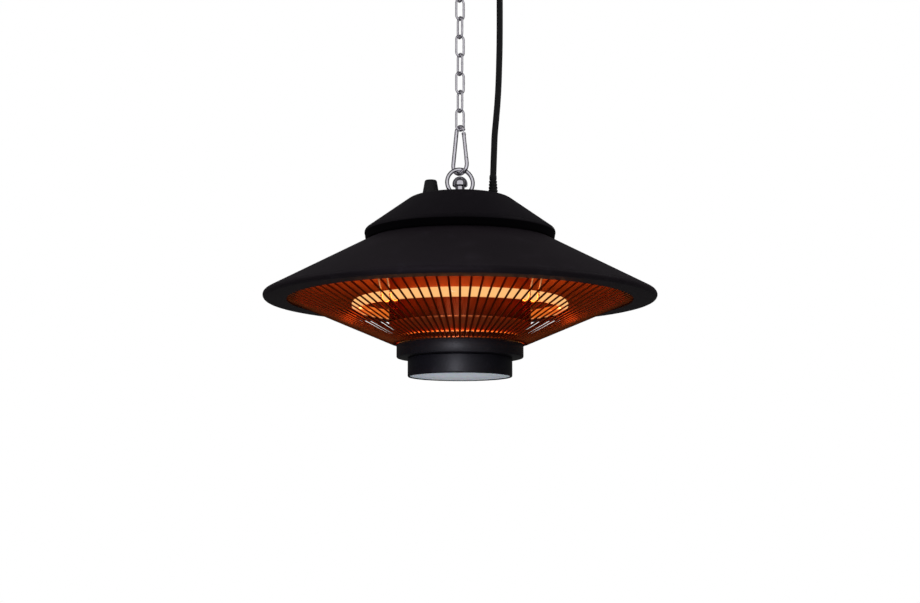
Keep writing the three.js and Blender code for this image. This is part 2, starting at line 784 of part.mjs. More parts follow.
// Ceiling hook with a peg for the spare cord, in the plane across the top link
const hookLine = [
  [hookRadius, throatHeight + hookRadius + hookTipRise],
  ...arc(0, throatHeight + hookRadius, hookRadius, 0, -180, 8),
  [-hookRadius, throatHeight + hookRadius + hookNeckRise],
  [-hookRadius / 2, throatHeight + hookRadius + (hookNeckRise + hookCentreRise) / 2],
  [0, throatHeight + hookRadius + hookCentreRise],
  [0, hookTop],
];
const hookShape = wire(hookLine.map(flat), hookWire, 8, false).rotateZ(radians(linkYaw));
const pegCentre = throatHeight + pegHeight;
const pegLine = [
  [0, 0, pegCentre],
  [0, -pegLength, pegCentre],
  [0, -pegLength - pegUpturn / 2, pegCentre + pegUpturn / 2],
  [0, -pegLength - pegUpturn / 2, pegCentre + pegUpturn],
];
const pegShape = wire(pegLine, hookWire, 10, false, new THREE.Vector3(1, 0, 0));
piece(ceiling, "ceiling_hook", joined(hookShape, pegShape), zinc);

// Ceiling plate and screws
const plateUnder = ceilingHeight - plateThickness;
const plateOutline = [
  [0, ceilingHeight],
  [plateRadius, ceilingHeight],
  [plateRadius, plateUnder],
  [plateBossRadius, plateUnder],
  [plateBossRadius, plateUnder - plateBossHeight],
  [hookWire + gap, plateUnder - plateBossHeight],
  [hookWire + gap, hookTop + gap],
  [0, hookTop + gap],
];
const screwSides = [plateScrewSpacing, -plateScrewSpacing];
const screwHoles = screwSides.map((x) =>
  post(screwShankRadius + gap, plateUnder - overrun, ceilingHeight + overrun, x),
);
piece(ceiling, "ceiling_plate", cut(turned(plateOutline, 24), ...screwHoles), zinc);
screwSides.forEach((x, i) => {
  const headTop = plateUnder - gap;
  const head = post(screwHeadRadius - screwHeadHeight / 2, headTop - screwHeadHeight, headTop, x, 0, 12, screwHeadRadius);
  const shank = post(screwShankRadius, headTop - screwHeadHeight / 2, ceilingHeight - gap, x, 0, 8);
  piece(ceiling, `ceiling_screw_${i + 1}`, joined(head, shank), zinc);
});

// Ring lamp: the quartz tube's two ends bend up into ceramic bases at the back
const lampBend = lampTubeRadius / lampRadius;
const lampAt = (degrees, height) => [...lampEndAt(degrees), height];
const bendDegrees = THREE.MathUtils.radToDeg(lampBend);
const lampRun = (extra) => {
  const high = lampEndHeight + extra;
  const middle = lampHeight + lampTubeRadius * 1.6;
  const end = (sign) => [
    lampAt(90 + sign * lampEndAngle, high),
    lampAt(90 + sign * lampEndAngle, (high + middle) / 2),
    lampAt(90 + sign * lampEndAngle, middle),
    lampAt(90 + sign * (lampEndAngle + bendDegrees), lampHeight + lampTubeRadius / 4),
    lampAt(90 + sign * (lampEndAngle + bendDegrees * 2.6), lampHeight),
  ];
  const start = 90 + lampEndAngle + bendDegrees * 2.6;
  const span = 360 - 2 * (start - 90);
  const steps = 24;
  const round = Array.from({ length: steps - 1 }, (_, i) => lampAt(start + (span * (i + 1)) / steps, lampHeight));
  return [...end(1), ...round, ...end(-1).reverse()];
};
piece(heater, "lamp_tube", tube(lampRun(0), lampTubeRadius, 6, 40, lampTubeRadius - lampTubeWall), quartz);
const filamentRadius = lampTubeRadius - lampTubeWall - filamentGap;
piece(heater, "lamp_filament", tube(lampRun(filamentExtra), filamentRadius, 4, 40), tungsten);
const [endX, endY] = lampEndAt(lampEnds[0]);
const baseCornerRadius = Math.hypot(endX + baseWidth / 2, endY + baseDepth / 2);
const baseTopHeight = reflectorHeightAt(baseCornerRadius) - gap;
["left", "right"].forEach((side, i) => {
  const [x, y] = lampEndAt(lampEnds[1 - i]);
  const body = block(baseWidth, baseDepth, baseBottomHeight, baseTopHeight, x, y);
  const seat = post(lampTubeRadius + gap, baseBottomHeight - overrun, lampEndHeight + filamentExtra + gap, x, y);
  piece(heater, `lamp_base_${side}`, cut(body, seat), ceramic);
});

// Lamp clips: hairpins of spring wire that run from the reflector down to the lamp and round beneath its tube
const cradleRadius = lampTubeRadius + 2 * gap + clipWire;
const clipFoot = reflectorHeightAt(clipFootRadius) - (clipWire + gap) * Math.hypot(1, reflectorSlope);
const clipTurn = lampRadius - cradleRadius - clipTurnReach;
const clipSide = (aside) => [
  [clipFootRadius, aside, clipFoot],
  [clipKneeRadius, aside, clipFoot - clipKneeDrop],
  ...arc(lampRadius, lampHeight, cradleRadius, 15, -180, 6).map(([x, z]) => [x, aside, z]),
  [clipTurn, aside / 2, lampHeight + clipTurnRise],
];
clipAngles.forEach((degrees, i) => {
  const line = [...clipSide(-clipHalfWidth), ...clipSide(clipHalfWidth).reverse()];
  const clip = piece(heater, `lamp_clip_${i + 1}`, tube(line, clipWire, 5, 48), zinc);
  clip.rotation.z = radians(degrees);
});

// Wiring chamber under the cap
const terminalTop = deckTop + gap + terminalHeight;
piece(
  heater,
  "terminal_block",
  block(terminalWidth, terminalDepth, deckTop + gap, terminalTop, 0, terminalReach),
  ceramic,
);
const boardUnder = deckTop + gap + boardStandoff;
const boardTop = boardUnder + boardThickness;
const board = block(boardWidth, boardDepth, boardUnder, boardTop, 0, -boardReach);
const boardPosts = [1, -1].flatMap((sx) =>
  [1, -1].map((sy) =>
    post(
      boardPostRadius,
      deckTop + gap,
      boardUnder + boardThickness / 2,
      sx * (boardWidth / 2 - boardPostInset),
      -boardReach + sy * (boardDepth / 2 - boardPostInset),
      8,
    ),
  ),
);
piece(heater, "control_board", joined(board, ...boardPosts), laminate);
const relayUnder = boardTop + gap;
piece(
  heater,
  "relay",
  block(relayWidth, relayDepth, relayUnder, relayUnder + relayHeight, -relayOffset, -boardReach),
  plastic,
);
piece(
  heater,
  "thermal_cutout",
  post(cutoutRadius, deckTop + gap, deckTop + gap + cutoutHeight, -cutoutReach, 0, 16),
  ceramic,
);

// Leads inside the heater
const terminalBack = terminalReach + terminalDepth / 2 + gap;
["left", "right"].forEach((side, i) => {
  const sign = i ? 1 : -1;
  const [x, y] = lampEndAt(lampEnds[1 - i]);
  const under = (reflectorTop + deckUnder) / 2;
  const line = [
    [x, y, baseTopHeight + gap],
    [x, y, reflectorHeightAt(lampRadius) + reflectorWall + leadRadius * 2],
    [x * 0.9, y * 0.9, under - leadRadius],
    [sign * leadHoleSpacing * 1.15, leadHoleReach * 1.2, under],
    [sign * leadHoleSpacing, leadHoleReach, under + leadRadius * 3],
    [sign * leadHoleSpacing, leadHoleReach, deckTop + leadRadius * 2],
    [sign * leadHoleSpacing, terminalBack + leadRadius * 4, deckTop + terminalHeight / 2],
    [sign * leadHoleSpacing, terminalBack, deckTop + terminalHeight / 2],
  ];
  piece(heater, `lamp_lead_${side}`, tube(line, leadRadius, 6, 16), silicone);
});
const ledLeadLine = [
  [ledLeadReach, -boardReach + boardDepth / 2 + gap, boardUnder + boardThickness / 2],
  [ledLeadReach, -ledLeadRadius * 5, boardUnder + ledLeadRadius],
  [ledLeadReach, 0, deckTop + ledLeadRadius],
  [ledLeadReach, 0, deckUnder - ledLeadRadius * 2],
  [ledLeadReach, 0, reflectorDiscHeight],
  [ledLeadReach, 0, (columnTop + collarUnder) / 2],
  [ledLeadReach, 0, cupRoofUnder],
  [ledLeadReach, 0, ledBoardTop + gap],
];
piece(heater, "led_lead", tube(ledLeadLine, ledLeadRadius, 6, 24), silicone);

// Switch: a push button in a panel-mounted body
const bezelUnder = capTopHeight + gap;
const bezelTop = bezelUnder + switchBezelHeight;
const switchBottom = capUnder - switchBarrelDepth;
const switchShape = joined(
  post(switchBezelRadius, bezelUnder, bezelTop, -switchReach),
  post(switchBarrelRadius, switchBottom, bezelTop - gap, -switchReach),
  post(switchNutRadius, capUnder - gap - switchNutHeight, capUnder - gap, -switchReach, 0, 6),
);
const stemBore = post(buttonStemRadius + gap, bezelTop - switchBoreDepth, bezelTop + overrun, -switchReach);
piece(heater, "switch_body", cut(switchShape, stemBore), plastic);
const buttonBottom = bezelTop + switchTravelGap;
const stemBottom = buttonBottom - buttonStemLength;
const buttonOutline = [
  [0, stemBottom],
  [buttonStemRadius, stemBottom],
  [buttonStemRadius, buttonBottom],
  [buttonBaseRadius, buttonBottom],
  [buttonTopRadius + buttonEdge / 3, buttonBottom + buttonHeight - buttonEdge],
  [buttonTopRadius - buttonEdge / 2, buttonBottom + buttonHeight],
  [0, buttonBottom + buttonHeight],
];
const button = piece(heater, "switch_button", turned(buttonOutline, 16), rubber);
button.position.x = -switchReach;

// Cord entry, with the mains lead inside running on to the terminal block
const glandTop = capTopHeight + gap + glandFlangeHeight;
const glandBottom = capUnder - glandTailDepth;
const glandShape = joined(
  post(glandFlangeRadius, capTopHeight + gap, glandTop, glandReach, 0, smallSides, glandTopRadius),
  post(glandBodyRadius, capUnder - glandNutHeight, capTopHeight + glandFlangeHeight / 2, glandReach),
  post(glandNutRadius, capUnder - gap - glandNutHeight, capUnder - gap, glandReach, 0, 6),
  post(glandTailRadius, glandBottom, capUnder - glandNutHeight, glandReach),
);
piece(heater, "gland", glandShape, rubber);
const innerLeadHeight = deckTop + gap + terminalHeight / 2;
const innerLeadLine = [
  [glandReach, 0, glandBottom - gap],
  [glandReach, 0, glandBottom - cordRadius],
  [glandReach, terminalReach / 3, innerLeadHeight + cordRadius / 2],
  [glandReach, terminalReach * 0.7, innerLeadHeight],
  [glandReach - cordRadius * 2, terminalReach, innerLeadHeight],
  [terminalWidth / 2 + gap, terminalReach, innerLeadHeight],
];
piece(heater, "inner_lead", tube(innerLeadLine, cordRadius, 8, 12), rubber);

// Free stretches of the cord
for (const [name, points] of Object.entries(cordStretches)) {
  piece(cord, name, tube(points, cordRadius, cordSides, 3), rubber);
}

// Coil of spare cord: four layers, the loops spiralling in and out again at a steady rate
const turnsPerLayer = coilTurns / coilLayers;
function coilPoint(turn) {
  const wave = Math.abs(((turn / turnsPerLayer + 1) % 2) - 1);
  const radius = coilRadius - coilPitch * turnsPerLayer * wave;
  const nearest = Math.round(turn / turnsPerLayer);
  const climb = THREE.MathUtils.clamp((turn - nearest * turnsPerLayer) * 2 + 0.5, 0, 1);
  const inner = nearest > 0 && nearest < coilLayers;
  const layer = inner ? nearest - 1 + THREE.MathUtils.smoothstep(climb, 0, 1) : Math.max(nearest - 1, 0);
  const angle = full * turn;
  return [
    coilCentre[0] + radius * Math.cos(angle),
    coilCentre[1] - layer * coilPitch,
    coilCentre[2] + radius * Math.sin(angle),
  ];
}
const coilCount = coilTurns * coilSteps;
const coilLoops = Array.from({ length: coilCount - 1 }, (_, i) => coilPoint((i + 1) / coilSteps));
const coilStart = coilPoint(0);
const coilEnd = coilPoint(coilTurns);
const coilLine = [
  [coilStart[0], coilStart[1], coilStart[2] - coilEndRun],
  coilStart,
  ...coilLoops,
  coilEnd,
  [coilEnd[0], coilEnd[1], coilEnd[2] - coilTail],
  [coilEnd[0], coilEnd[1], coilEnd[2] - coilTail - coilEndRun],
];
piece(cord, "cord_coil", wire(coilLine, cordRadius, coilSides, false), rubber);

// The least gap of the coil to itself, measured on points along it
const coilFine = Array.from({ length: coilTurns * 96 }, (_, i) => new THREE.Vector3(...coilPoint(i / 96)));
let leastGap = Infinity;
coilFine.forEach((point, i) => {
  for (let k = i + 48; k < coilFine.length; k++) {
    leastGap = Math.min(leastGap, point.distanceTo(coilFine[k]) - 2 * cordRadius);
  }
});
console.log(`least gap of the coil to itself: ${leastGap.toFixed(2)} mm`);

// Tie: a flat band round the coil's bundle
const bundleInner = coilRadius - coilPitch * turnsPerLayer - cordRadius - tieSlack;
const bundleOuter = coilRadius + cordRadius + tieSlack;
const bundleFront = coilCentre[1] - coilPitch * (coilLayers - 1) - cordRadius - tieSlack;
const bundleBack = coilCentre[1] + cordRadius + tieSlack;
const bundleWidth = bundleOuter - bundleInner;
const bundleDepth = bundleBack - bundleFront;
const bundleMiddle = (bundleFront + bundleBack) / 2;
const tieOuter = new THREE.BoxGeometry(bundleWidth + 2 * tieWall, bundleDepth + 2 * tieWall, tieWidth);
const tieHole = new THREE.BoxGeometry(bundleWidth, bundleDepth, tieWidth + 2 * overrun);
const tie = cut(tieOuter, tieHole)
  .translate((bundleInner + bundleOuter) / 2, bundleMiddle, 0)
  .rotateY(-radians(tieAngle))
  .translate(coilCentre[0], 0, coilCentre[2]);
piece(cord, "coil_tie", tie, rubber);

// Plug: an angled round plug, its pins towards the front
const plugCordEnd = coilEnd[2] - coilTail - coilEndRun;
const reliefTopHeight = plugCordEnd - gap;
const reliefBottomHeight = reliefTopHeight - plugReliefLength;
const plugCentreHeight = reliefBottomHeight - plugRadius;
const plugBack = coilEnd[1] + plugDepth / 2 - plugBackDepth / 2;
const plugFront = plugBack - plugDepth;
const plugOutline = [
  [0, -plugBack - plugBackDepth],
  [plugBackRadius, -plugBack - plugBackDepth],
  [plugRadius, -plugBack],
  [plugRadius, -plugFront],
  [0, -plugFront],
];
const plugShape = joined(
  turned(plugOutline, 24).rotateX(Math.PI / 2).translate(coilEnd[0], 0, plugCentreHeight),
  block(
    plugNeckSide,
    plugNeckSide,
    reliefBottomHeight - plugNeckLength,
    reliefBottomHeight,
    coilEnd[0],
    coilEnd[1],
  ),
  post(plugReliefBase, reliefBottomHeight - overrun, reliefTopHeight, coilEnd[0], coilEnd[1], 12, plugReliefTop),
);
piece(cord, "plug_body", plugShape, rubber);
[1, -1].forEach((sign, i) => {
  const pin = new THREE.CylinderGeometry(plugPinRadius, plugPinRadius, plugPinLength, 10);
  const mesh = piece(cord, `plug_pin_${i + 1}`, closed(pin), brass);
  mesh.position.set(coilEnd[0] + (sign * plugPinSpacing) / 2, plugFront - gap - plugPinLength / 2, plugCentreHeight);
});

model.position.z = -ceilingHeight;

export default model;
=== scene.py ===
# A hanging electric patio heater: hood and cap in powder-coated steel, a ring lamp behind a wire guard, and the
# lifting ring, spring hook, chain and lead that hold it up. Shapes are written in millimetres, with heights
# from a level at the hood's rim, 2.7 above the middle of its bead, and are placed in metres below the ceiling.
import math

import bmesh
import bpy
from mathutils import Matrix, Vector


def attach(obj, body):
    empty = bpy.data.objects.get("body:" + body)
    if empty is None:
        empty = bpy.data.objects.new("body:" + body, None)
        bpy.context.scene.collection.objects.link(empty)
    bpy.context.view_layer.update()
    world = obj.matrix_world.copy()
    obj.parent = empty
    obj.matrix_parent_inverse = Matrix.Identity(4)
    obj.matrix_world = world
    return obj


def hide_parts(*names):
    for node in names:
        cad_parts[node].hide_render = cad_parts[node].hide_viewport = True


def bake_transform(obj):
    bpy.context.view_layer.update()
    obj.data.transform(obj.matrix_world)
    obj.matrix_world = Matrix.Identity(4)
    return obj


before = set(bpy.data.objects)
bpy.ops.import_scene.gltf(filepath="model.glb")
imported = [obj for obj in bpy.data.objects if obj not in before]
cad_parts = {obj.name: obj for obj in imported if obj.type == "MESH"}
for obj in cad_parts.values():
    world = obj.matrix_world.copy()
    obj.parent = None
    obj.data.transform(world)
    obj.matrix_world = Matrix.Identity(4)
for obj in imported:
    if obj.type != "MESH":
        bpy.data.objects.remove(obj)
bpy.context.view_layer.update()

# Placing: how deep height zero is below the ceiling, and the step from millimetres to the room
RIM_DEPTH = 484.4
MILLIMETRE = 0.001
PER_METRE = 1000
TURN = 2 * math.pi
TO_ROOM = Matrix.Scale(MILLIMETRE, 4) @ Matrix.Translation((0, 0, -RIM_DEPTH))

# Meshing: steps round a full turn, edges that stay sharp or get rounded, and how corners are eased
ROUND_STEPS = 144
SHARP_ANGLE = math.radians(38)
BEVEL_ANGLE = math.radians(30)
WELD = 0.001
CORNER_SHARE = 0.49
MITRE_LIMIT = 0.3

# Camera, below the rim and tilted up at the heater
CAMERA_DISTANCE = 1700
CAMERA_DROP = 232
CAMERA_TILT = 7.545
CAMERA_LENS = 61.86
CAMERA_SENSOR = 36
CAMERA_NEAR = 0.01

# Lead: each free stretch has the bodies below and above it and the points that it runs through
LEAD_RADIUS = 3.5
LEAD_BENDS = [
    ("heater", "ring",
     [(36.2, 0, 111.7), (36.3, -0.1, 128), (36.8, -0.2, 144), (37.4, -0.4, 160.4)]),
    ("ring", "carabiner",
     [(37.4, -0.4, 160.4), (38.1, -0.7, 177), (39.6, -1.1, 194), (41, -1.6, 209.8)]),
    ("carabiner", "chain",
     [(41, -1.6, 209.8), (42.1, -2.2, 226.5), (42.8, -2.9, 242.5), (43.3, -3.6, 259.25)]),
    ("chain", "top_link",
     [(43.3, -3.6, 259.25), (43.7, -4.3, 275), (43.9, -5, 292), (44, -5.7, 308.65)]),
    ("top_link", "ceiling",
     [(44, -5.7, 308.65), (44, -6.4, 324.5), (44, -7, 341), (44, -7.4, 358.05)]),
]
LEAD_TOP = [(44, -7.4, 358.05), (44, -7.8, 379), (44, -8, 398), (44, -8, 411)]

# Coil of spare lead on the peg, with the plug below it
COIL_ENTRY = (44, -8, 418)
COIL_CENTRE = (0.5, -8, 425)
COIL_RADIUS = 43.5
COIL_PITCH = 7.7
COIL_LAYERS = 4
COIL_TURNS = 6.5
COIL_STEPS = 40
COIL_TAIL = (4, 9, 13, 17)
TIE_ANGLE = 125
TIE_HEIGHT = 6
TIE_THICKNESS = 1.1
TIE_SLACK = 0.5
TIE_CORNER = 4
BUCKLE = (2.4, 7, 8)
PLUG_X = -43
PLUG_HEIGHT = 369.2
PLUG_FACE = -46.1
PLUG_SIDE = [
    (0, 0), (18.5, 0, 1.6), (18.5, 9, 1.5), (17.3, 11.5, 2), (17.3, 15, 2), (18.2, 17.5, 1.5),
    (17.6, 22, 2), (14, 30, 3), (0, 30),
]
PIN_FACE = -46.4
PIN_SPREAD = 9.5
PIN_SIDE = [(0, 0), (2.4, 0, 0.2), (2.4, 17.4, 1.2), (1.4, 19, 0.6), (0, 19)]

# Strain relief, and the bore that it and the plug's neck leave for the lead
SLEEVE_BORE = 3.55
NECK_PLACE = (PLUG_X, -31.1, 377.3)
NECK_SIDE = [
    (0, 0), (7.4, 0, 1), (7.4, 7, 2), (5.4, 10, 1), (5.2, 20), (3.9, 30, 0.4), (SLEEVE_BORE, 30.2), (0, 30.2),
]
RELIEF_FOOT = 111.6
RELIEF_RINGS = 5
RELIEF_PITCH = 3.4
RELIEF_WIDTH = 5.1
RELIEF_TAPER = 0.26
RELIEF_GROOVE = 0.45

# Surfaces: scuffs are finer than the mottle, show where their noise is high, and dull the surface
MOTTLE_DETAIL = 4.0
SCUFF_FINENESS = 2.7
SCUFF_DETAIL = 7.0
SCUFF_ROUGHNESS = 0.7
SCUFF_START = 0.56
SCUFF_FULL = 0.74
SCUFF_COVER = 0.6
SCUFF_DULLING = 0.12
GRAIN_DETAIL = 3.0
RELIEF_STRENGTH = 0.6
RING_DISTORTION = 0.6
# At scale one, ring waves repeat a full turn over this apart
WAVE_FACTOR = 20

# Lamp
LAMP_RADIUS = 112
LAMP_HEIGHT = -11.5
LAMP_TUBE = 5.25
LAMP_END = 11
LAMP_STEPS = 160
COATING_EDGE = 3
LAMP_SHINE = (1, 0.36, 0.09, 1)


def in_room(point):
    """A point in millimetres from the rim as one in metres below the ceiling."""
    return tuple(TO_ROOM @ Vector(point))


# Colours and shaders
def linear(code):
    """An sRGB hex colour as linear red, green, blue and alpha."""
    shares = [int(code[i : i + 2], 16) / 255 for i in (1, 3, 5)]
    return [c / 12.92 if c <= 0.04045 else ((c + 0.055) / 1.055) ** 2.4 for c in shares] + [1.0]


def add_node(tree, kind, values=(), links=(), **settings):
    """A shader node with its settings, its own socket values and the sockets that feed it."""
    node = tree.nodes.new("ShaderNode" + kind)
    for name, value in settings.items():
        setattr(node, name, value)
    for key, value in dict(values).items():
        node.inputs[key].default_value = value
    for key, socket in dict(links).items():
        tree.links.new(socket, node.inputs[key])
    return node


def finish(
    name, light, dark, rough, patch, grain, lift, worn=None, stretch=(1, 1, 1), rings=0, **levels
):
    """A surface of two tones that a mottle mixes, with scuffs in a third tone, a range of roughness and a fine
    relief. patch and grain are the sizes of mottle and relief in millimetres, lift is the relief's height and
    rings the spacing of turning marks about the upright axis, in millimetres too."""
    material = bpy.data.materials.new(name)
    material.use_nodes = True
    tree = material.node_tree
    shader = tree.nodes["Principled BSDF"]
    for key, value in levels.items():
        shader.inputs[key.replace("_", " ")].default_value = value
    place = add_node(tree, "TexCoord")
    along = add_node(tree, "Mapping", {"Scale": stretch}, {"Vector": place.outputs["Object"]})
    where = {"Vector": along.outputs["Vector"]}
    mottle = add_node(tree, "TexNoise", {"Scale": PER_METRE / patch, "Detail": MOTTLE_DETAIL}, where)
    tone = add_node(
        tree, "Mix", {6: linear(dark), 7: linear(light)}, {0: mottle.outputs["Fac"]}, data_type="RGBA"
    )
    scuff = add_node(
        tree,
        "TexNoise",
        {
            "Scale": SCUFF_FINENESS * PER_METRE / patch,
            "Detail": SCUFF_DETAIL,
            "Roughness": SCUFF_ROUGHNESS,
        },
        where,
    )
    mark = add_node(
        tree,
        "MapRange",
        {"From Min": SCUFF_START, "From Max": SCUFF_FULL, "To Max": SCUFF_COVER},
        {"Value": scuff.outputs["Fac"]},
    )
    used = add_node(
        tree,
        "Mix",
        {7: linear(worn or light)},
        {0: mark.outputs["Result"], 6: tone.outputs[2]},
        data_type="RGBA",
    )
    tree.links.new(used.outputs[2], shader.inputs["Base Color"])
    fine = add_node(tree, "TexNoise", {"Scale": PER_METRE / grain, "Detail": GRAIN_DETAIL}, where)
    spread = add_node(
        tree, "MapRange", {"To Min": rough[0], "To Max": rough[1]}, {"Value": fine.outputs["Fac"]}
    )
    dulled = add_node(
        tree,
        "Math",
        {1: SCUFF_DULLING},
        {0: mark.outputs["Result"], 2: spread.outputs["Result"]},
        operation="MULTIPLY_ADD",
    )
    tree.links.new(dulled.outputs[0], shader.inputs["Roughness"])
    relief = add_node(
        tree,
        "Bump",
        {"Strength": RELIEF_STRENGTH, "Distance": lift * MILLIMETRE},
        {"Height": fine.outputs["Fac"]},
    )
    if rings:
        turned = add_node(
            tree,
            "TexWave",
            {
                "Scale": TURN / WAVE_FACTOR / (rings * MILLIMETRE),
                "Distortion": RING_DISTORTION,
                "Detail": 1.0,
            },
            {"Vector": place.outputs["Object"]},
            wave_type="RINGS",
            rings_direction="Z",
        )
        tree.links.new(turned.outputs["Fac"], relief.inputs["Height"])
    tree.links.new(relief.outputs["Normal"], shader.inputs["Normal"])
    return material


# Hood: steel sheet, spun and powder coated in satin charcoal, with the fine orange peel of baked powder
hood_coat = finish(
    "powder_coated_steel_charcoal", "#1e191d", "#161216", (0.5, 0.62), 60, 0.9, 0.03, worn="#2a262b",
    Specular_IOR_Level=0.05,
)
# Cap: the same powder on a pressed lid, in a darker tone all over than the hood's
cap_coat = finish(
    "powder_coated_steel_black", "#151116", "#0e0b0f", (0.48, 0.6), 45, 0.9, 0.03, worn="#1f1b20",
    Specular_IOR_Level=0.05,
)
# Cap's lower bead and skirt: near-black painted shade, standing for the shade under the bead
cap_edge_painted_shade = finish(
    "painted_shade_cap_edge", "#050406", "#030204", (0.6, 0.72), 45, 0.9, 0.02, worn="#0a080b",
    Specular_IOR_Level=0.02,
)
# Collar, cup and lip: smoother black enamel with a slow satin highlight
enamel = finish(
    "black_stove_enamel", "#0c0b10", "#060508", (0.44, 0.52), 30, 1.6, 0.01, worn="#141318",
    Specular_IOR_Level=0.12,
)
# Reflector: bright-rolled aluminium, heat-tinted to copper, with faint turning rings
reflector_metal = finish(
    "heat_tinted_aluminium", "#c26a3e", "#a4562e", (0.42, 0.54), 90, 2.4, 0.01, worn="#8a4a28", rings=1.4,
    Metallic=1.0, Specular_Tint=linear("#a86444"),
)
# Column: the same sheet rolled to a drum, in a darker copy of the metal that is painted shade
column_painted_shade_metal = finish(
    "heat_tinted_drum_painted_shade", "#40180a", "#321206", (0.4, 0.52), 60, 3, 0.02, worn="#2a0e05",
    stretch=(1, 1, 0.15), Metallic=1.0, Specular_Tint=linear("#5a2c18"),
)
# Column's zones above the lamp's level and on the shoulder: a brighter copper copy of the metal, a painted
# reflection of the lamp
column_painted_reflection = finish(
    "painted_lamp_reflection_copper", "#cc7444", "#b06036", (0.3, 0.42), 60, 3, 0.01, worn="#965030",
    stretch=(1, 1, 0.15), Metallic=1.0, Specular_Tint=linear("#b06c48"),
)
# Neck ring: the same aluminium, turned bright and tinted less
ring_metal = finish(
    "bright_turned_aluminium", "#d89870", "#b87850", (0.3, 0.4), 40, 2, 0.01, worn="#8a5838",
    Metallic=1.0, Specular_Tint=linear("#c88860"),
)
# Guard: drawn steel strip and wire, browned by the lamp's heat
guard_wire = finish(
    "heat_browned_steel_wire", "#8e4622", "#6a3018", (0.36, 0.5), 18, 1, 0.01, worn="#6a4434",
    Metallic=1.0, Specular_Tint=linear("#8a4826"),
)
# Ring and dome nut: mirror chrome on steel
chrome = finish(
    "chromed_steel", "#cccacf", "#b0aeb6", (0.05, 0.12), 12, 0.8, 0.004, worn="#a29ca2", Metallic=1.0
)
# Chain, spring hook, ceiling hook, plate and screws: bright zinc with a cloudy crystalline skin
zinc = finish(
    "zinc_plated_steel", "#dcdae0", "#b4b0b8", (0.2, 0.36), 6, 0.6, 0.008, worn="#8c868c", Metallic=1.0
)
# Lead and strain relief: matt rubber with a dusting of fine pores
rubber = finish(
    "matt_black_rubber", "#0d0d0f", "#070708", (0.58, 0.74), 14, 0.5, 0.02, worn="#1a1a1c",
    Specular_IOR_Level=0.2,
)
# Switch and plug: moulded thermoplastic, fine spark-eroded texture
plastic = finish(
    "moulded_black_plastic", "#0d0c0f", "#070608", (0.42, 0.52), 9, 0.35, 0.012, worn="#18171a",
    Specular_IOR_Level=0.2,
)
# Lamp sockets: unglazed steatite, chalky and slightly stained
ceramic = finish("unglazed_steatite", "#e8e2d4", "#cfc6b2", (0.7, 0.85), 7, 0.4, 0.02, worn="#a08c70")
# Lens: opal polycarbonate, satin, unlit
opal = finish(
    "opal_polycarbonate", "#eceaee", "#dfdde2", (0.3, 0.42), 40, 1.2, 0.006, worn="#c4c0ca",
    Subsurface_Weight=0.2,
)
# Boards: glass laminate under green solder mask
laminate = finish("solder_masked_laminate", "#23703f", "#15472a", (0.3, 0.5), 5, 0.7, 0.03, worn="#3a8a58")
# Inner leads: braided glass sleeve soaked in silicone
sleeve = finish("silicone_sleeve", "#9b4632", "#6f2c20", (0.55, 0.75), 3, 0.4, 0.05, worn="#b06a56")
# Plug pins: turned brass, left bare
brass = finish(
    "turned_brass", "#d0b36a", "#a98a45", (0.16, 0.3), 4, 0.3, 0.004, worn="#8a7040", stretch=(1, 0.1, 1),
    Metallic=1.0,
)
# Tie: ribbed nylon strap
nylon = finish("nylon_strap", "#1c1c20", "#101013", (0.35, 0.5), 5, 0.4, 0.01, worn="#2c2c32")
# Clip wire: spring steel, straw-coloured from the lamp's heat
clip_wire = finish(
    "straw_tempered_spring_steel", "#f6c48c", "#d89858", (0.3, 0.42), 6, 0.6, 0.006, worn="#7a4a2c",
    Metallic=1.0,
)


def glowing(name, outer, inner, seen, thrown):
    """Quartz or wire at working heat. Its side towards the column is coated and glows redder, and it throws
    more light on its surroundings than a picture can show of the tube itself."""
    material = finish(
        name, "#2a1408", "#1c0c04", (0.1, 0.2), 8, 1.0, 0.004, worn="#3a1c0c", Specular_IOR_Level=0.1
    )
    tree = material.node_tree
    shader = tree.nodes["Principled BSDF"]
    place = add_node(tree, "TexCoord")
    flat_place = add_node(
        tree, "VectorMath", {1: (1, 1, 0)}, {0: place.outputs["Object"]}, operation="MULTIPLY"
    )
    reach = add_node(tree, "VectorMath", (), {0: flat_place.outputs["Vector"]}, operation="LENGTH")
    side = add_node(
        tree,
        "MapRange",
        {
            "From Min": (LAMP_RADIUS - COATING_EDGE) * MILLIMETRE,
            "From Max": (LAMP_RADIUS + COATING_EDGE) * MILLIMETRE,
        },
        {"Value": reach.outputs["Value"]},
    )
    heat = add_node(
        tree, "Mix", {6: linear(inner), 7: linear(outer)}, {0: side.outputs["Result"]}, data_type="RGBA"
    )
    path = add_node(tree, "LightPath")
    colour = add_node(
        tree,
        "Mix",
        {6: LAMP_SHINE},
        {0: path.outputs["Is Camera Ray"], 7: heat.outputs[2]},
        data_type="RGBA",
    )
    power = add_node(
        tree, "MapRange", {"To Min": thrown, "To Max": seen}, {"Value": path.outputs["Is Camera Ray"]}
    )
    tree.links.new(colour.outputs[2], shader.inputs["Emission Color"])
    tree.links.new(power.outputs["Result"], shader.inputs["Emission Strength"])
    return material


# Lamp's tube and the wire coil in it, both at working heat
quartz = glowing("gold_coated_quartz_lit", "#ffbf78", "#dc6a22", 1.0, 9.0)
tungsten = glowing("glowing_tungsten_coil", "#ffd9a0", "#ffb060", 2.0, 2.0)


def placed(name, data):
    """An object in the scene."""
    thing = bpy.data.objects.new(name, data)
    bpy.context.scene.collection.objects.link(thing)
    return thing


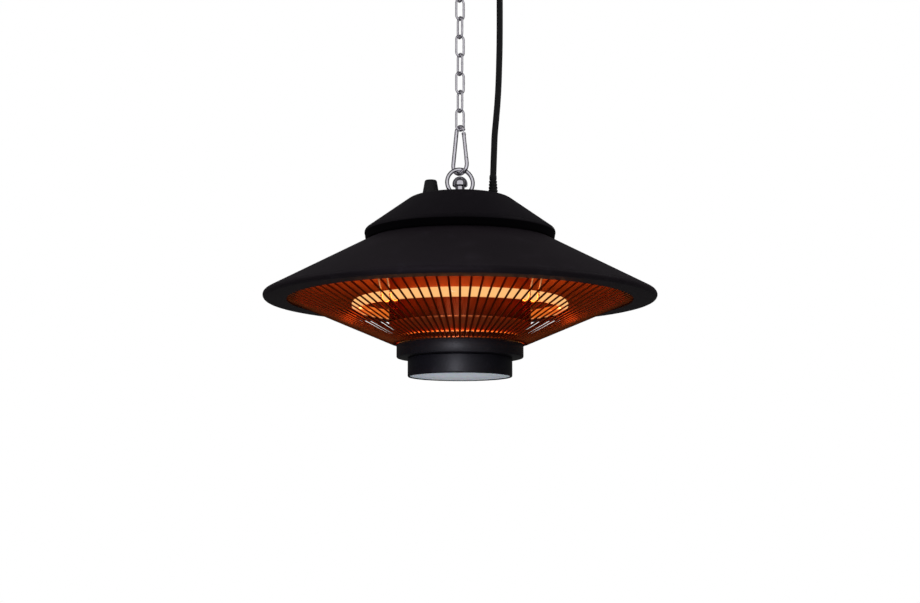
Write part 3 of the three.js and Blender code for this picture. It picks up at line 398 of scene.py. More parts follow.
# Camera
def make_camera():
    lens = bpy.data.cameras.new("camera")
    lens.lens = CAMERA_LENS
    lens.sensor_width = CAMERA_SENSOR
    lens.clip_start = CAMERA_NEAR
    camera = placed("camera", lens)
    camera.location = in_room((0, -CAMERA_DISTANCE, -CAMERA_DROP))
    camera.rotation_euler = (math.radians(90 + CAMERA_TILT), 0, 0)
    bpy.context.scene.camera = camera


make_camera()


# Shaping
def arc(centre, radius, start, end, steps):
    """Points (radius, height) on an arc in a side view, from one angle to another."""
    turns = [math.radians(start + (end - start) * i / steps) for i in range(steps + 1)]
    return [(centre[0] + radius * math.cos(a), centre[1] + radius * math.sin(a)) for a in turns]


def eased(line, loop=False, steps=5):
    """A line of (x, z) or (x, z, fillet) points with its corners rounded."""
    smooth = []
    for i, point in enumerate(line):
        here = Vector(point[:2])
        inner = loop or 0 < i < len(line) - 1
        if len(point) < 3 or not inner:
            smooth.append(tuple(here))
            continue
        before = Vector(line[i - 1][:2]) - here
        after = Vector(line[(i + 1) % len(line)][:2]) - here
        room = CORNER_SHARE * min(before.length, after.length)
        reach = min(point[2] / math.tan(before.angle(after) / 2), room)
        first = here + before.normalized() * reach
        last = here + after.normalized() * reach
        for k in range(steps + 1):
            t = k / steps
            smooth.append(tuple(first * (1 - t) ** 2 + here * 2 * t * (1 - t) + last * t * t))
    return smooth


def walled(line, wall):
    """The closed outline of a sheet: a line and the same line moved to its right by the wall."""
    moved = []
    for i, point in enumerate(line):
        into = Vector(point) - Vector(line[max(i - 1, 0)])
        out = Vector(line[min(i + 1, len(line) - 1)]) - Vector(point)
        into = into.normalized() if into.length else out.normalized()
        out = out.normalized() if out.length else into
        along = (into + out).normalized()
        push = wall / max(along.dot(into), MITRE_LIMIT)
        moved.append((point[0] + along.y * push, point[1] - along.x * push))
    return list(line) + moved[::-1]


def spun(outline, loop=True, steps=ROUND_STEPS):
    """An outline of (radius, height) points turned about the upright axis."""
    bm = bmesh.new()
    corners = [bm.verts.new((max(r, 0), 0, z)) for r, z in outline]
    edges = [bm.edges.new(pair) for pair in zip(corners, corners[1:])]
    if loop:
        edges.append(bm.edges.new((corners[-1], corners[0])))
    bmesh.ops.spin(
        bm, geom=corners + edges, cent=(0, 0, 0), axis=(0, 0, 1), angle=TURN, steps=steps, use_merge=True
    )
    bmesh.ops.remove_doubles(bm, verts=bm.verts, dist=WELD)
    bmesh.ops.recalc_face_normals(bm, faces=bm.faces)
    return bm


def wired(points, radius, loop=False, roundness=4):
    """A round wire along a line of points."""
    curve = bpy.data.curves.new("wire", "CURVE")
    curve.dimensions = "3D"
    curve.bevel_depth = radius
    curve.bevel_resolution = roundness
    curve.use_fill_caps = not loop
    spline = curve.splines.new("POLY")
    spline.points.add(len(points) - 1)
    for knot, point in zip(spline.points, points):
        knot.co = (*point, 1)
    spline.use_cyclic_u = loop
    holder = bpy.data.objects.new("wire", curve)
    mesh = bpy.data.meshes.new_from_object(holder)
    bm = bmesh.new()
    bm.from_mesh(mesh)
    bpy.data.objects.remove(holder)
    bpy.data.curves.remove(curve)
    bpy.data.meshes.remove(mesh)
    bmesh.ops.remove_doubles(bm, verts=bm.verts, dist=WELD)
    bmesh.ops.recalc_face_normals(bm, faces=bm.faces)
    return bm


def flat(line):
    """A side view's line as points in the room's XZ plane."""
    return [(x, 0, z) for x, z in line]


def route(points, steps=6):
    """A smooth line through points."""
    knots = [Vector(p) for p in points]
    knots = [2 * knots[0] - knots[1], *knots, 2 * knots[-1] - knots[-2]]
    smooth = []
    for a, b, c, d in zip(knots, knots[1:], knots[2:], knots[3:]):
        for k in range(steps):
            t = k / steps
            spot = 2 * b + (c - a) * t + (2 * a - 5 * b + 4 * c - d) * t**2 + (3 * b - a - 3 * c + d) * t**3
            smooth.append(tuple(spot / 2))
    return smooth + [tuple(knots[-2])]


def round_bar(radius, low, high, sides=48):
    """A round or hexagonal bar between two heights."""
    bm = bmesh.new()
    bmesh.ops.create_cone(
        bm,
        cap_ends=True,
        segments=sides,
        radius1=radius,
        radius2=radius,
        depth=high - low,
        matrix=Matrix.Translation((0, 0, (low + high) / 2)),
    )
    return bm


def block(width, depth, height):
    """A block with its middle at the origin."""
    bm = bmesh.new()
    bmesh.ops.create_cube(bm, size=1, matrix=Matrix.Diagonal((width, depth, height, 1)))
    return bm


def softened(bm, size, segments=3):
    """The shape with its sharp edges rounded."""
    sharp = [e for e in bm.edges if len(e.link_faces) == 2 and e.calc_face_angle(0) > BEVEL_ANGLE]
    bmesh.ops.bevel(
        bm,
        geom=sharp,
        offset=size,
        offset_type="OFFSET",
        segments=segments,
        profile=0.5,
        affect="EDGES",
        material=-1,
        clamp_overlap=True,
    )
    return bm


def as_mesh(name, bm):
    """The shape as a mesh; the shape itself is used up."""
    mesh = bpy.data.meshes.new(name)
    bm.to_mesh(mesh)
    bm.free()
    return mesh


def together(*shapes):
    """Several shapes as one."""
    whole = shapes[0]
    for shape in shapes[1:]:
        mesh = as_mesh("part", shape)
        whole.from_mesh(mesh)
        bpy.data.meshes.remove(mesh)
    return whole


def shifted(bm, move=(0, 0, 0), yaw=0, tilt=0):
    """The shape tipped about X, turned about the upright axis and then moved."""
    turn = Matrix.Rotation(math.radians(yaw), 4, "Z") @ Matrix.Rotation(math.radians(tilt), 4, "X")
    bmesh.ops.transform(bm, matrix=Matrix.Translation(move) @ turn, verts=bm.verts)
    return bm


def made(name, bm, material, slot, *nodes):
    """A piece in the room from a shape in millimetres, standing for CAD nodes."""
    bmesh.ops.transform(bm, matrix=TO_ROOM, verts=bm.verts)
    mesh = as_mesh(name, bm)
    mesh.materials.append(material)
    mesh.shade_smooth()
    mesh.set_sharp_from_angle(angle=SHARP_ANGLE)
    piece = placed(name, mesh)
    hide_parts(*nodes)
    return piece


def fixed(body, *rest):
    """A piece that rides on a body."""
    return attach(made(*rest), body)


def coil_line():
    """Layers of loops that spiral in and out again at a steady rate."""
    per_layer = COIL_TURNS / COIL_LAYERS
    line = []
    for i in range(int(COIL_TURNS * COIL_STEPS) + 1):
        turn = i / COIL_STEPS
        wave = abs((turn / per_layer + 1) % 2 - 1)
        radius = COIL_RADIUS - COIL_PITCH * per_layer * wave
        nearest = math.floor(turn / per_layer + 0.5)
        climb = min(max((turn - nearest * per_layer) * 2 + 0.5, 0), 1)
        layer = max(nearest - 1, 0)
        if 0 < nearest < COIL_LAYERS:
            layer = nearest - 1 + climb * climb * (3 - 2 * climb)
        angle = TURN * turn
        line.append(
            (
                COIL_CENTRE[0] + radius * math.cos(angle),
                COIL_CENTRE[1] - layer * COIL_PITCH,
                COIL_CENTRE[2] + radius * math.sin(angle),
            )
        )
    return line


def make_lead():
    for i, (low, high, points) in enumerate(LEAD_BENDS):
        line = route(points)
        shape = wired(line, LEAD_RADIUS, roundness=8)
        lead = made(f"lead_{i + 1}", shape, rubber, "black_rubber", f"cord_run_{i + 1}")
        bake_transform(lead)
        if i == 0:
            relief = made("lead_relief", relief_shape(line), rubber, "black_rubber")
            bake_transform(relief)


def relief_shape(line):
    """A tapered sleeve on the lead with soft rings, moulded with the gland."""
    outline = [(SLEEVE_BORE, 0), (5.2, 0)]
    for ring in range(RELIEF_RINGS):
        foot = 1.5 + ring * RELIEF_PITCH
        width = RELIEF_WIDTH - ring * RELIEF_TAPER
        groove = width - RELIEF_GROOVE
        outline += [(groove, foot), (groove, foot + 0.9), (width, foot + 1.3), (width, foot + 3)]
    outline += [(3.9, 20.5), (SLEEVE_BORE, 21.2)]
    return shifted(spun(outline, steps=40), (line[0][0], line[0][1], RELIEF_FOOT))


def plug_shape():
    """A round moulded plug turned about its own axis, with a finger groove round it."""
    bm = spun(eased(PLUG_SIDE), loop=False, steps=96)
    return shifted(bm, (PLUG_X, PLUG_FACE, PLUG_HEIGHT), tilt=-90)


def neck_shape():
    """The plug's neck, which tapers up to the lead."""
    return shifted(spun(eased(NECK_SIDE), loop=False, steps=48), NECK_PLACE)


def make_coil():
    coil = coil_line()
    x, y, z = coil[-1]
    tail = [(x, y, z - drop) for drop in COIL_TAIL]
    line = route(LEAD_TOP)[:-1] + [COIL_ENTRY] + coil + tail
    shape = wired(line, LEAD_RADIUS, roundness=6)
    lead = made("lead_coil", shape, rubber, "black_rubber", "cord_top_run", "cord_coil")
    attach(lead, "ceiling")
    tie = fixed("ceiling", "coil_strap", tie_shape(), nylon, "black_plastic", "coil_tie")
    moulding = together(plug_shape(), neck_shape())
    body = fixed("ceiling", "plug_moulding", moulding, plastic, "black_plastic", "plug_body")
    for i, pin_x in enumerate((PLUG_X - PIN_SPREAD, PLUG_X + PIN_SPREAD)):
        pin = spun(eased(PIN_SIDE), loop=False, steps=32)
        shifted(pin, (pin_x, PIN_FACE, PLUG_HEIGHT), tilt=90)
        fixed("ceiling", f"plug_pin_brass_{i + 1}", pin, brass, "brass", f"plug_pin_{i + 1}")


def tie_shape():
    """A flat strap round the bundle of turns, with its buckle outside."""
    centre = COIL_RADIUS - COIL_PITCH * COIL_TURNS / COIL_LAYERS / 2
    half_wide = COIL_RADIUS - centre + LEAD_RADIUS + TIE_SLACK
    half_deep = COIL_PITCH * (COIL_LAYERS - 1) / 2 + LEAD_RADIUS + TIE_SLACK
    signs = [(-1, -1), (1, -1), (1, 1), (-1, 1)]
    outline = eased([(a * half_wide, b * half_deep, TIE_CORNER) for a, b in signs], loop=True)
    bm = bmesh.new()
    low = [bm.verts.new((x, y, -TIE_HEIGHT / 2)) for x, y in outline]
    edges = [bm.edges.new((low[i - 1], low[i])) for i in range(len(low))]
    grown = bmesh.ops.extrude_edge_only(bm, edges=edges)["geom"]
    high = [v for v in grown if isinstance(v, bmesh.types.BMVert)]
    bmesh.ops.translate(bm, vec=(0, 0, TIE_HEIGHT), verts=high)
    bmesh.ops.recalc_face_normals(bm, faces=bm.faces)
    bmesh.ops.solidify(bm, geom=bm.faces, thickness=-TIE_THICKNESS)
    bmesh.ops.recalc_face_normals(bm, faces=bm.faces)
    together(bm, shifted(softened(block(*BUCKLE), 0.6), (half_wide - 0.3, 0, 0)))
    middle = COIL_CENTRE[1] - COIL_PITCH * (COIL_LAYERS - 1) / 2
    bmesh.ops.translate(bm, vec=(centre, middle, 0), verts=bm.verts)
    turn = Matrix.Rotation(math.radians(-TIE_ANGLE), 4, "Y")
    turn = Matrix.Translation((COIL_CENTRE[0], 0, COIL_CENTRE[2])) @ turn
    bmesh.ops.transform(bm, matrix=turn, verts=bm.verts)
    return bm


make_lead()
make_coil()


# Sheets on the centre rod all have the same hole for it
ROD_HOLE = 3.4

# Hood and cap
HOOD_RADIUS = 212.8
HOOD_BEAD = 4.1
HOOD_BEAD_HEIGHT = -2.7
HOOD_WALL = 1.2
HOOD_TANGENT = 62.48
HOOD_DECK = 62.24
HOOD_FLANGE_END = (187.3, -6.8)
CAP_RADIUS = 104.1
CAP_BEAD = 5.2
CAP_BEAD_HEIGHT = 67.87
CAP_WALL = 1.5
CAP_TANGENT = 53.1
CAP_TOP = 107.1
CAP_SKIRT = [(103, 61.5), (102.4, 59.5)]
# Height below which the cap's faces take the near-black painted shade
CAP_PAINTED_SHADE_TOP = 67.5


def make_hood():
    bead = (HOOD_RADIUS - HOOD_BEAD, HOOD_BEAD_HEIGHT)
    rim = arc(bead, HOOD_BEAD, HOOD_TANGENT, -90, 14)
    line = [
        (ROD_HOLE, HOOD_DECK),
        *eased([(60, HOOD_DECK), (94.6, HOOD_DECK, 6), rim[0]])[1:-1],
        *rim,
        HOOD_FLANGE_END,
    ]
    shell = spun(walled(line, HOOD_WALL), steps=180)
    fixed("heater", "hood_shell", shell, hood_coat, "charcoal_paint", "hood")


def make_cap():
    bead = (CAP_RADIUS - CAP_BEAD, CAP_BEAD_HEIGHT)
    rim = arc(bead, CAP_BEAD, CAP_TANGENT, -20, 10)
    line = [
        (ROD_HOLE, CAP_TOP),
        *eased([(20, CAP_TOP), (53.4, CAP_TOP, 16), rim[0]], steps=10)[1:-1],
        *rim,
        *CAP_SKIRT,
    ]
    shell = spun(walled(line, CAP_WALL), steps=160)
    cap = fixed("heater", "cap_shell", shell, cap_coat, "charcoal_paint", "top_cap")
    # Faces below that height take the second material: the near-black painted shade under the bead
    cap.data.materials.append(cap_edge_painted_shade)
    painted_shade_top = in_room((0, 0, CAP_PAINTED_SHADE_TOP))[2]
    for face in cap.data.polygons:
        if face.center.z < painted_shade_top:
            face.material_index = 1


# Guard: the bars' line from rim to collar, and each ring's radius, half width and height
GUARD_BARS = 100
GUARD_LINE = [(187.5, -4.45), (184.5, -5.3, 4), (74.5, -52.1, 3), (71, -53)]
OUTER_RING = (188, 1.6, -4.45)
INNER_RING = (71, 1.5, -53)
BAR_RADIUS = 0.85
BAR_SPREAD = 1.4


def band_outline(radius, half_width, height):
    """The outline of a flat ring, as thick as the bars, with rounded edges."""
    inner, outer = radius - half_width, radius + half_width
    low, high = height - BAR_RADIUS, height + BAR_RADIUS
    corners = [(inner, low), (outer, low), (outer, high), (inner, high)]
    return eased([(*corner, 0.6) for corner in corners], loop=True, steps=3)


def make_guard():
    bars = wired(flat(eased(GUARD_LINE)), BAR_RADIUS, roundness=2)
    bmesh.ops.transform(bars, matrix=Matrix.Diagonal((1, BAR_SPREAD, 1, 1)), verts=bars.verts)
    bmesh.ops.spin(
        bars,
        geom=bars.verts[:] + bars.edges[:] + bars.faces[:],
        cent=(0, 0, 0),
        axis=(0, 0, 1),
        angle=TURN * (GUARD_BARS - 1) / GUARD_BARS,
        steps=GUARD_BARS - 1,
        use_duplicate=True,
    )
    outer = spun(band_outline(*OUTER_RING), steps=200)
    inner = spun(band_outline(*INNER_RING), steps=120)
    grille = together(bars, outer, inner)
    fixed("heater", "guard_grille", grille, guard_wire, "dark_steel", "guard")


# Rim lip, reflector, column, collar, cup and lens
LIP_OUTLINE = [(178, -3.3), (206.5, -3.3), (206.5, -2.1), (178, -2.1)]
REFLECTOR_LINE = [(ROD_HOLE, 42), (95, 42, 8), (176, -1.27, 3), (189, -1.8)]
REFLECTOR_WALL = 1
COLUMN_LINE = [
    (ROD_HOLE, 41.7), (77, 41.7, 2), (77, -7), (77, -32, 5), (65, -45, 3), (65, -66.2),
]
COLUMN_WALL = 1.2
# Heights that bound the column's painted reflection of the lamp
LAMP_LEVEL = -7
SHOULDER_LEVEL = -31
NECK_LEVEL = -45
NECK_RING = [(65.35, -47.25, 0.3), (67.25, -47.25, 0.5), (66.75, -45.4, 0.3), (65.35, -45.4, 0.3)]
COLLAR_OUTLINE = [
    (ROD_HOLE, -68.5), (67.2, -68.5), (68.1, -68.2), (68.6, -67.4), (68.6, -54.4), (68.3, -53.8),
    (67.7, -53.5), (66.9, -53.6), (66.9, -66.5), (ROD_HOLE, -66.5),
]
CUP_OUTLINE = [
    (ROD_HOLE, -68.8), (55.6, -68.8), (56.3, -69.1), (56.5, -69.8), (56.5, -87.4), (56.3, -88.4),
    (55.8, -88.9), (55.2, -89), (54.6, -88.6), (54.5, -88), (54.5, -70.8), (ROD_HOLE, -70.8),
]
LENS_RADIUS = 54.2
LENS_FOOT = -91
LENS_BULGE = 3
LENS_EDGE = [(54.1, -87.9), (54.2, -87.4), (54.2, -81), (51.8, -81), (51.8, -86), (0, -86)]


def make_lip():
    bm = softened(spun(LIP_OUTLINE, steps=160), 0.4, 2)
    fixed("heater", "rim_lip_ring", bm, enamel, "black_paint", "rim_lip")


def make_reflector():
    bm = spun(walled(eased(REFLECTOR_LINE), -REFLECTOR_WALL), steps=160)
    fixed("heater", "reflector_dish", bm, reflector_metal, "polished_aluminium", "reflector")


def make_column():
    bm = spun(walled(eased(COLUMN_LINE, steps=6), COLUMN_WALL), steps=128)
    drum = fixed("heater", "column_drum", bm, column_painted_shade_metal, "polished_aluminium", "column")
    drum.data.materials.append(column_painted_reflection)
    # Faces above the lamp's level, and between the neck and the shoulder, take the brighter copy: a painted
    # reflection of the lamp
    lamp, shoulder, neck = (in_room((0, 0, z))[2] for z in (LAMP_LEVEL, SHOULDER_LEVEL, NECK_LEVEL))
    for face in drum.data.polygons:
        if face.center.z > lamp or neck < face.center.z < shoulder:
            face.material_index = 1
    ring = spun(eased(NECK_RING, loop=True))
    fixed("heater", "column_neck_ring", ring, ring_metal, "polished_aluminium", "column_band")


def make_base():
    collar = spun(COLLAR_OUTLINE, steps=128)
    fixed("heater", "collar_ring", collar, enamel, "black_paint", "base_collar")
    cup = spun(CUP_OUTLINE, steps=128)
    fixed("heater", "base_cup_shell", cup, enamel, "black_paint", "base_cup")
    sphere = (LENS_RADIUS**2 + LENS_BULGE**2) / (2 * LENS_BULGE)
    reach = math.degrees(math.asin(LENS_RADIUS / sphere))
    dome = arc((0, LENS_FOOT + sphere), sphere, -90, -90 + reach, 10)
    lens = spun([(0, LENS_FOOT)] + dome[1:-1] + LENS_EDGE, loop=False, steps=128)
    fixed("heater", "lens_disc", lens, opal, "opal_plastic", "lens")


# Lamp: its bent ends by the share of the bend's reach that they have gone round the ring, and by height
LAMP_BEND = [(0, 15), (0, 5), (0, -1.5), (0.15, -4.5), (0.6, -8), (1.4, -10.6), (2.6, LAMP_HEIGHT)]
SOCKET = (15, 14, 20.1)
SOCKET_HEIGHT = 18.05
CLIP_WIRE = 1.1
CLIP_CRADLE = 6.95
CLIP_LEG = [(134, 19.6), (128, 18.6)]
CLIP_NOSE = (103.85, LAMP_HEIGHT + 5)
CLIP_HALF = 6
CLIP_AZIMUTHS = (-50, -130)


def on_lamp(angle, z):
    """A point above or below the lamp's ring."""
    a = math.radians(angle)
    return (LAMP_RADIUS * math.cos(a), LAMP_RADIUS * math.sin(a), z)


def lamp_line():
    """The ring of the lamp, with both ends bent up into their sockets at the back."""
    bend = math.degrees(LAMP_TUBE / LAMP_RADIUS)
    first = [on_lamp(90 + LAMP_END + bend * share, z) for share, z in LAMP_BEND]
    last = [on_lamp(90 - LAMP_END - bend * share, z) for share, z in LAMP_BEND]
    start = 90 + LAMP_END + bend * LAMP_BEND[-1][0]
    span = 360 - 2 * (start - 90)
    ring = [on_lamp(start + span * i / LAMP_STEPS, LAMP_HEIGHT) for i in range(1, LAMP_STEPS)]
    return first + ring + last[::-1]


def make_lamp():
    tube = wired(lamp_line(), LAMP_TUBE, roundness=6)
    ring = fixed("heater", "lamp_quartz_ring", tube, quartz, "quartz", "lamp_tube")
    ring.visible_shadow = False
    for side, angle in (("left", 90 + LAMP_END), ("right", 90 - LAMP_END)):
        socket = shifted(softened(block(*SOCKET), 1.4), on_lamp(angle, SOCKET_HEIGHT))
        fixed("heater", f"lamp_socket_{side}", socket, ceramic, "ceramic", f"lamp_base_{side}")


def make_clips():
    cradle = arc((LAMP_RADIUS, LAMP_HEIGHT), CLIP_CRADLE, 15, -180, 12)
    for i, azimuth in enumerate(CLIP_AZIMUTHS):
        sides = []
        for aside in (-CLIP_HALF, CLIP_HALF):
            leg = [(x, aside, z) for x, z in CLIP_LEG + cradle]
            sides.append([*leg, (CLIP_NOSE[0], aside / 2, CLIP_NOSE[1])])
        line = sides[0] + sides[1][::-1]
        clip = shifted(wired(route(line, 4), CLIP_WIRE, roundness=3), yaw=azimuth)
        fixed("heater", f"lamp_hairpin_{i + 1}", clip, clip_wire, "zinc_steel", f"lamp_clip_{i + 1}")


# Dome nut and lifting ring
NUT_SIDE = [(0, 113.6), (5.1, 113.6, 0.4), (5.1, 119.9, 0.4), (7.4, 119.9, 0.5), (8.3, 121, 1), (8.3, 123.1)]
NUT_RADIUS = 8.3
NUT_DOME = 123
RING_CENTRE = (0, 124.5)
RING_RADIUS = 14.65
RING_WIRE = 2.25
RING_FOOT = [(3.3, 107.4), (7, 107.4, 0.8), (7, 111.6, 1.4), (5.4, 113.3, 0.8), (3.3, 113.3)]
RING_YAW = 16

# Spring hook: the centres and radii of its two bends, and its gate by shares of the straight between them
HOOK_LOW = (0, 144.35)
HOOK_HIGH = (0, 181.85)
HOOK_APART = 37.5
HOOK_LOW_BEND = 10
HOOK_HIGH_BEND = 5
HOOK_WIRE = 2.25
HOOK_YAW = -42
HINGE_SHARE = 0.12
NOSE_SHARE = 0.86
GATE_WIRE = 2.1
GATE_PAST_HINGE = 1.6
GATE_CLEAR = 0.5
TONGUE_WIRE = 0.68
TONGUE_PAST_HINGE = 0.9
# Radius and half length of the hinge pin, and of the gate's eye round it
HINGE_PIN = (0.75, 2.4)
GATE_EYE = (1.3, 2.55)


def make_ring():
    nut = spun(eased(NUT_SIDE) + arc((0, NUT_DOME), NUT_RADIUS, 2, 90, 14), loop=False, steps=64)
    fixed("heater", "dome_nut_cap", nut, chrome, "chrome", "dome_nut")
    ring = wired(flat(arc(RING_CENTRE, RING_RADIUS, 0, 357, 119)), RING_WIRE, loop=True, roundness=6)
    ring = shifted(together(ring, spun(eased(RING_FOOT), loop=False)), yaw=RING_YAW)
    fixed("ring", "lifting_ring", ring, chrome, "chrome", "hanging_ring")


def make_spring_hook():
    lean = math.degrees(math.asin((HOOK_LOW_BEND - HOOK_HIGH_BEND) / HOOK_APART))
    foot = arc(HOOK_LOW, HOOK_LOW_BEND, lean, -180 - lean, 28)
    head = arc(HOOK_HIGH, HOOK_HIGH_BEND, 180 - lean, lean, 18)
    top = Vector(head[-1])
    span = Vector(foot[0]) - top
    along = span.normalized()
    nose = top + span * NOSE_SHARE
    hinge = top + span * HINGE_SHARE
    wire = wired(flat([tuple(nose), *foot, *head]), HOOK_WIRE, roundness=6)
    tongue = wired(flat([head[-1], tuple(hinge + along * TONGUE_PAST_HINGE)]), TONGUE_WIRE, roundness=3)
    body = shifted(together(wire, tongue, rivet(hinge, *HINGE_PIN)), yaw=HOOK_YAW)
    fixed("carabiner", "spring_hook_body", body, zinc, "zinc_steel", "carabiner_body")

    start, end = hinge - along * GATE_PAST_HINGE, nose - along * GATE_CLEAR
    line = [tuple(spot) for spot in (start, start + along * 0.6, end - along * 0.5, end)]
    gate = together(wired(flat(line), GATE_WIRE, roundness=6), rivet(hinge, *GATE_EYE))
    gate = shifted(gate, yaw=HOOK_YAW)
    fixed("gate", "spring_hook_gate", gate, zinc, "zinc_steel", "carabiner_gate")


def rivet(centre, radius, half):
    """A short pin across the spring hook."""
    bm = round_bar(radius, -half, half, sides=24)
    softened(bm, 0.3, 2)
    return shifted(bm, (centre[0], 0, centre[1]), tilt=90)


# Chain: each link is a long loop of wire with a soft bead where its ends are welded
LINKS = 8
LINK_PITCH = 21
LINK_WIRE = 1.25
LINK_BEND = 4.75
LINK_LONG = 23.8
CHAIN_FOOT = 182.85
CHAIN_YAW = 30
WELD_SIDE = [(0, 10.3), (1.3, 10.7, 0.6), (1.4, 11.9, 0.6), (1.3, 13.1, 0.6), (0, 13.5)]


def make_chain():
    low, high = (0, LINK_BEND), (0, LINK_LONG - LINK_BEND)
    line = arc(low, LINK_BEND, 180, 360, 14) + arc(high, LINK_BEND, 0, 180, 14)
    for i in range(LINKS):
        link = wired(flat(line), LINK_WIRE, loop=True, roundness=4)
        weld = spun(eased(WELD_SIDE), loop=False, steps=24)
        together(link, shifted(weld, (LINK_BEND, 0, 0)))
        shifted(link, (0, 0, CHAIN_FOOT + LINK_PITCH * i), yaw=CHAIN_YAW - 90 * (i % 2))
        body = "top_link" if i == LINKS - 1 else "chain"
        fixed(body, f"link_{i + 1}", link, zinc, "zinc_steel", f"chain_link_{i + 1}")


# Ceiling hook with its peg, plate and screws
STEEL_WIRE = 3
THROAT = 349.1
THROAT_BEND = 9
HOOK_TIP = (9, THROAT + 17)
SHANK_TOP = (0, 482)
SHANK = [(-9, THROAT + 10), (-9, THROAT + 19, 6), (0, THROAT + 33, 8), SHANK_TOP]
PEG = [(0, 451.8), (-41.5, 451.8, 6), (-41.5, 458.8)]
PLATE_SIDE = [
    (0, RIM_DEPTH), (30, RIM_DEPTH), (30, 481, 1.2), (28.8, 480.4, 0.8), (7.8, 480.4, 0.8), (7, 479.6, 0.8),
    (7, 474.4, 0.8), (3.3, 474.4), (3.3, 482.4), (0, 482.4),
]
SCREW_OFFSET = 21
SCREW_HEAD = [(0, 477.7), (2.8, 477.7, 0.4), (4, 480.1), (0, 480.1)]
SCREW_SHANK = (2, 479.9, 484.1)
SLOT = (4, 0.7, 0.5)
SLOT_HEIGHT = 477.6


def make_ceiling():
    line = [
        HOOK_TIP,
        *arc((0, THROAT + THROAT_BEND), THROAT_BEND, 0, -180, 24),
        *eased(SHANK, steps=8)[1:-1],
        SHANK_TOP,
    ]
    hook = shifted(wired(flat(line), STEEL_WIRE, roundness=6), yaw=CHAIN_YAW)
    peg = wired([(0, y, z) for y, z in eased(PEG, steps=8)], STEEL_WIRE, roundness=6)
    hook = together(hook, peg)
    fixed("ceiling", "ceiling_hook_steel", hook, zinc, "zinc_steel", "ceiling_hook")
    plate = spun(eased(PLATE_SIDE), loop=False, steps=96)
    fixed("ceiling", "ceiling_rose", plate, zinc, "zinc_steel", "ceiling_plate")
    for i, x in enumerate((SCREW_OFFSET, -SCREW_OFFSET)):
        head = spun(eased(SCREW_HEAD), loop=False, steps=40)
        across = block(SLOT[1], SLOT[0], SLOT[2])
        cross = shifted(together(block(*SLOT), across), (0, 0, SLOT_HEIGHT))
        shank = round_bar(*SCREW_SHANK, sides=24)
        screw = shifted(together(head, cross, shank), (x, 0, 0))
        name, node = f"ceiling_screw_head_{i + 1}", f"ceiling_screw_{i + 1}"
        fixed("ceiling", name, screw, zinc, "zinc_steel", node)


# Switch with a ribbed knob, and gland
KNOB_SIDE = [
    (0, 98.3), (5.6, 98.3, 0.6), (5.6, 112.4), (9.1, 112.4, 0.5), (6.8, 125.9, 1.8), (5.9, 127.1, 0.7),
    (0, 127.1),
]
KNOB_RIBS = 24
RIB_DEPTH = 0.022
RIB_FOOT = 112.6
RIB_HEAD = 124.6
KNOB_PLACE = (-32, 0, 0)
GLAND_PLACE = (36.2, 0, 0)
GLAND_DOME = [(3.6, 109.4), (7.2, 109.4), (6.6, 111, 0.8), (5.2, 111.4, 0.4), (3.6, 111.4)]
# Radius, foot and head of the gland's other parts
GLAND_HEXAGON = (8, 107.4, 109.6)
GLAND_STEM = (6, 101.6, 107.5)
GLAND_NUT = (9, 101.3, 105.3)
GLAND_TAIL = (5, 87.6, 101.6)


def make_switch():
    button = spun(eased(KNOB_SIDE), loop=False, steps=120)
    for v in button.verts:
        if RIB_FOOT < v.co.z < RIB_HEAD:
            rib = 1 - RIB_DEPTH * (0.5 + 0.5 * math.cos(KNOB_RIBS * math.atan2(v.co.y, v.co.x)))
            v.co.x *= rib
            v.co.y *= rib
    shifted(button, KNOB_PLACE)
    fixed("button", "switch_knob", button, plastic, "black_plastic", "switch_button")


def make_gland():
    hexagon = softened(round_bar(*GLAND_HEXAGON, sides=6), 0.4, 2)
    dome = spun(eased(GLAND_DOME), loop=False)
    stem = round_bar(*GLAND_STEM)
    nut = softened(round_bar(*GLAND_NUT, sides=6), 0.4, 2)
    tail = round_bar(*GLAND_TAIL)
    shape = shifted(together(hexagon, dome, stem, nut, tail), GLAND_PLACE)
    fixed("heater", "gland_fitting", shape, plastic, "black_plastic", "gland")


make_hood()
make_cap()
make_guard()
make_lip()
make_reflector()
make_column()
make_base()
make_lamp()
make_clips()
make_ring()
make_spring_hook()
make_chain()
make_ceiling()
make_switch()
make_gland()

# Pieces that keep their CAD shape
KEPT = {
    zinc: ["centre_rod", "rod_nut", "spacer_upper", "spacer_middle", "spacer_lower"],
    ceramic: ["terminal_block", "thermal_cutout"],
    laminate: ["led_board", "control_board"],
    plastic: ["relay", "switch_body"],
    rubber: ["inner_lead"],
    sleeve: ["led_lead", "lamp_lead_left", "lamp_lead_right"],
    tungsten: ["lamp_filament"],
}
for material, names in KEPT.items():
    for name in names:
        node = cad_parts[name]
        node.data.materials.clear()
        node.data.materials.append(material)


# Studio: lengths of the floor in millimetres, all else in metres, degrees and watts
FLOOR_DEPTH = 2400
FLOOR_HALF = 20000
FLOOR_GLOW = 0.6
SKY_TINT = (0.93, 0.95, 1, 1)
SKY_EDGE = 0.1
SKY_BELOW = 0.05
SKY_ABOVE = 0.9
WHITE = (1, 1, 1, 1)
SCREEN_GLOW = 0.11
# Name, centre, tip and turn, width and height
SCREENS = [
    ("screen_left", (-1.3, 0.4, -0.3), 90, 90, 3.2, 2.6),
    ("screen_right", (1.3, 0.4, -0.3), 90, 90, 3.2, 2.6),
    ("screen_back", (0, 2, -0.3), 90, 0, 2.6, 2.6),
    ("screen_top", (0, 0.4, 1), 0, 0, 2.6, 3.2),
    ("screen_low", (0, 0.4, -1.6), 0, 0, 2.6, 3.2),
]
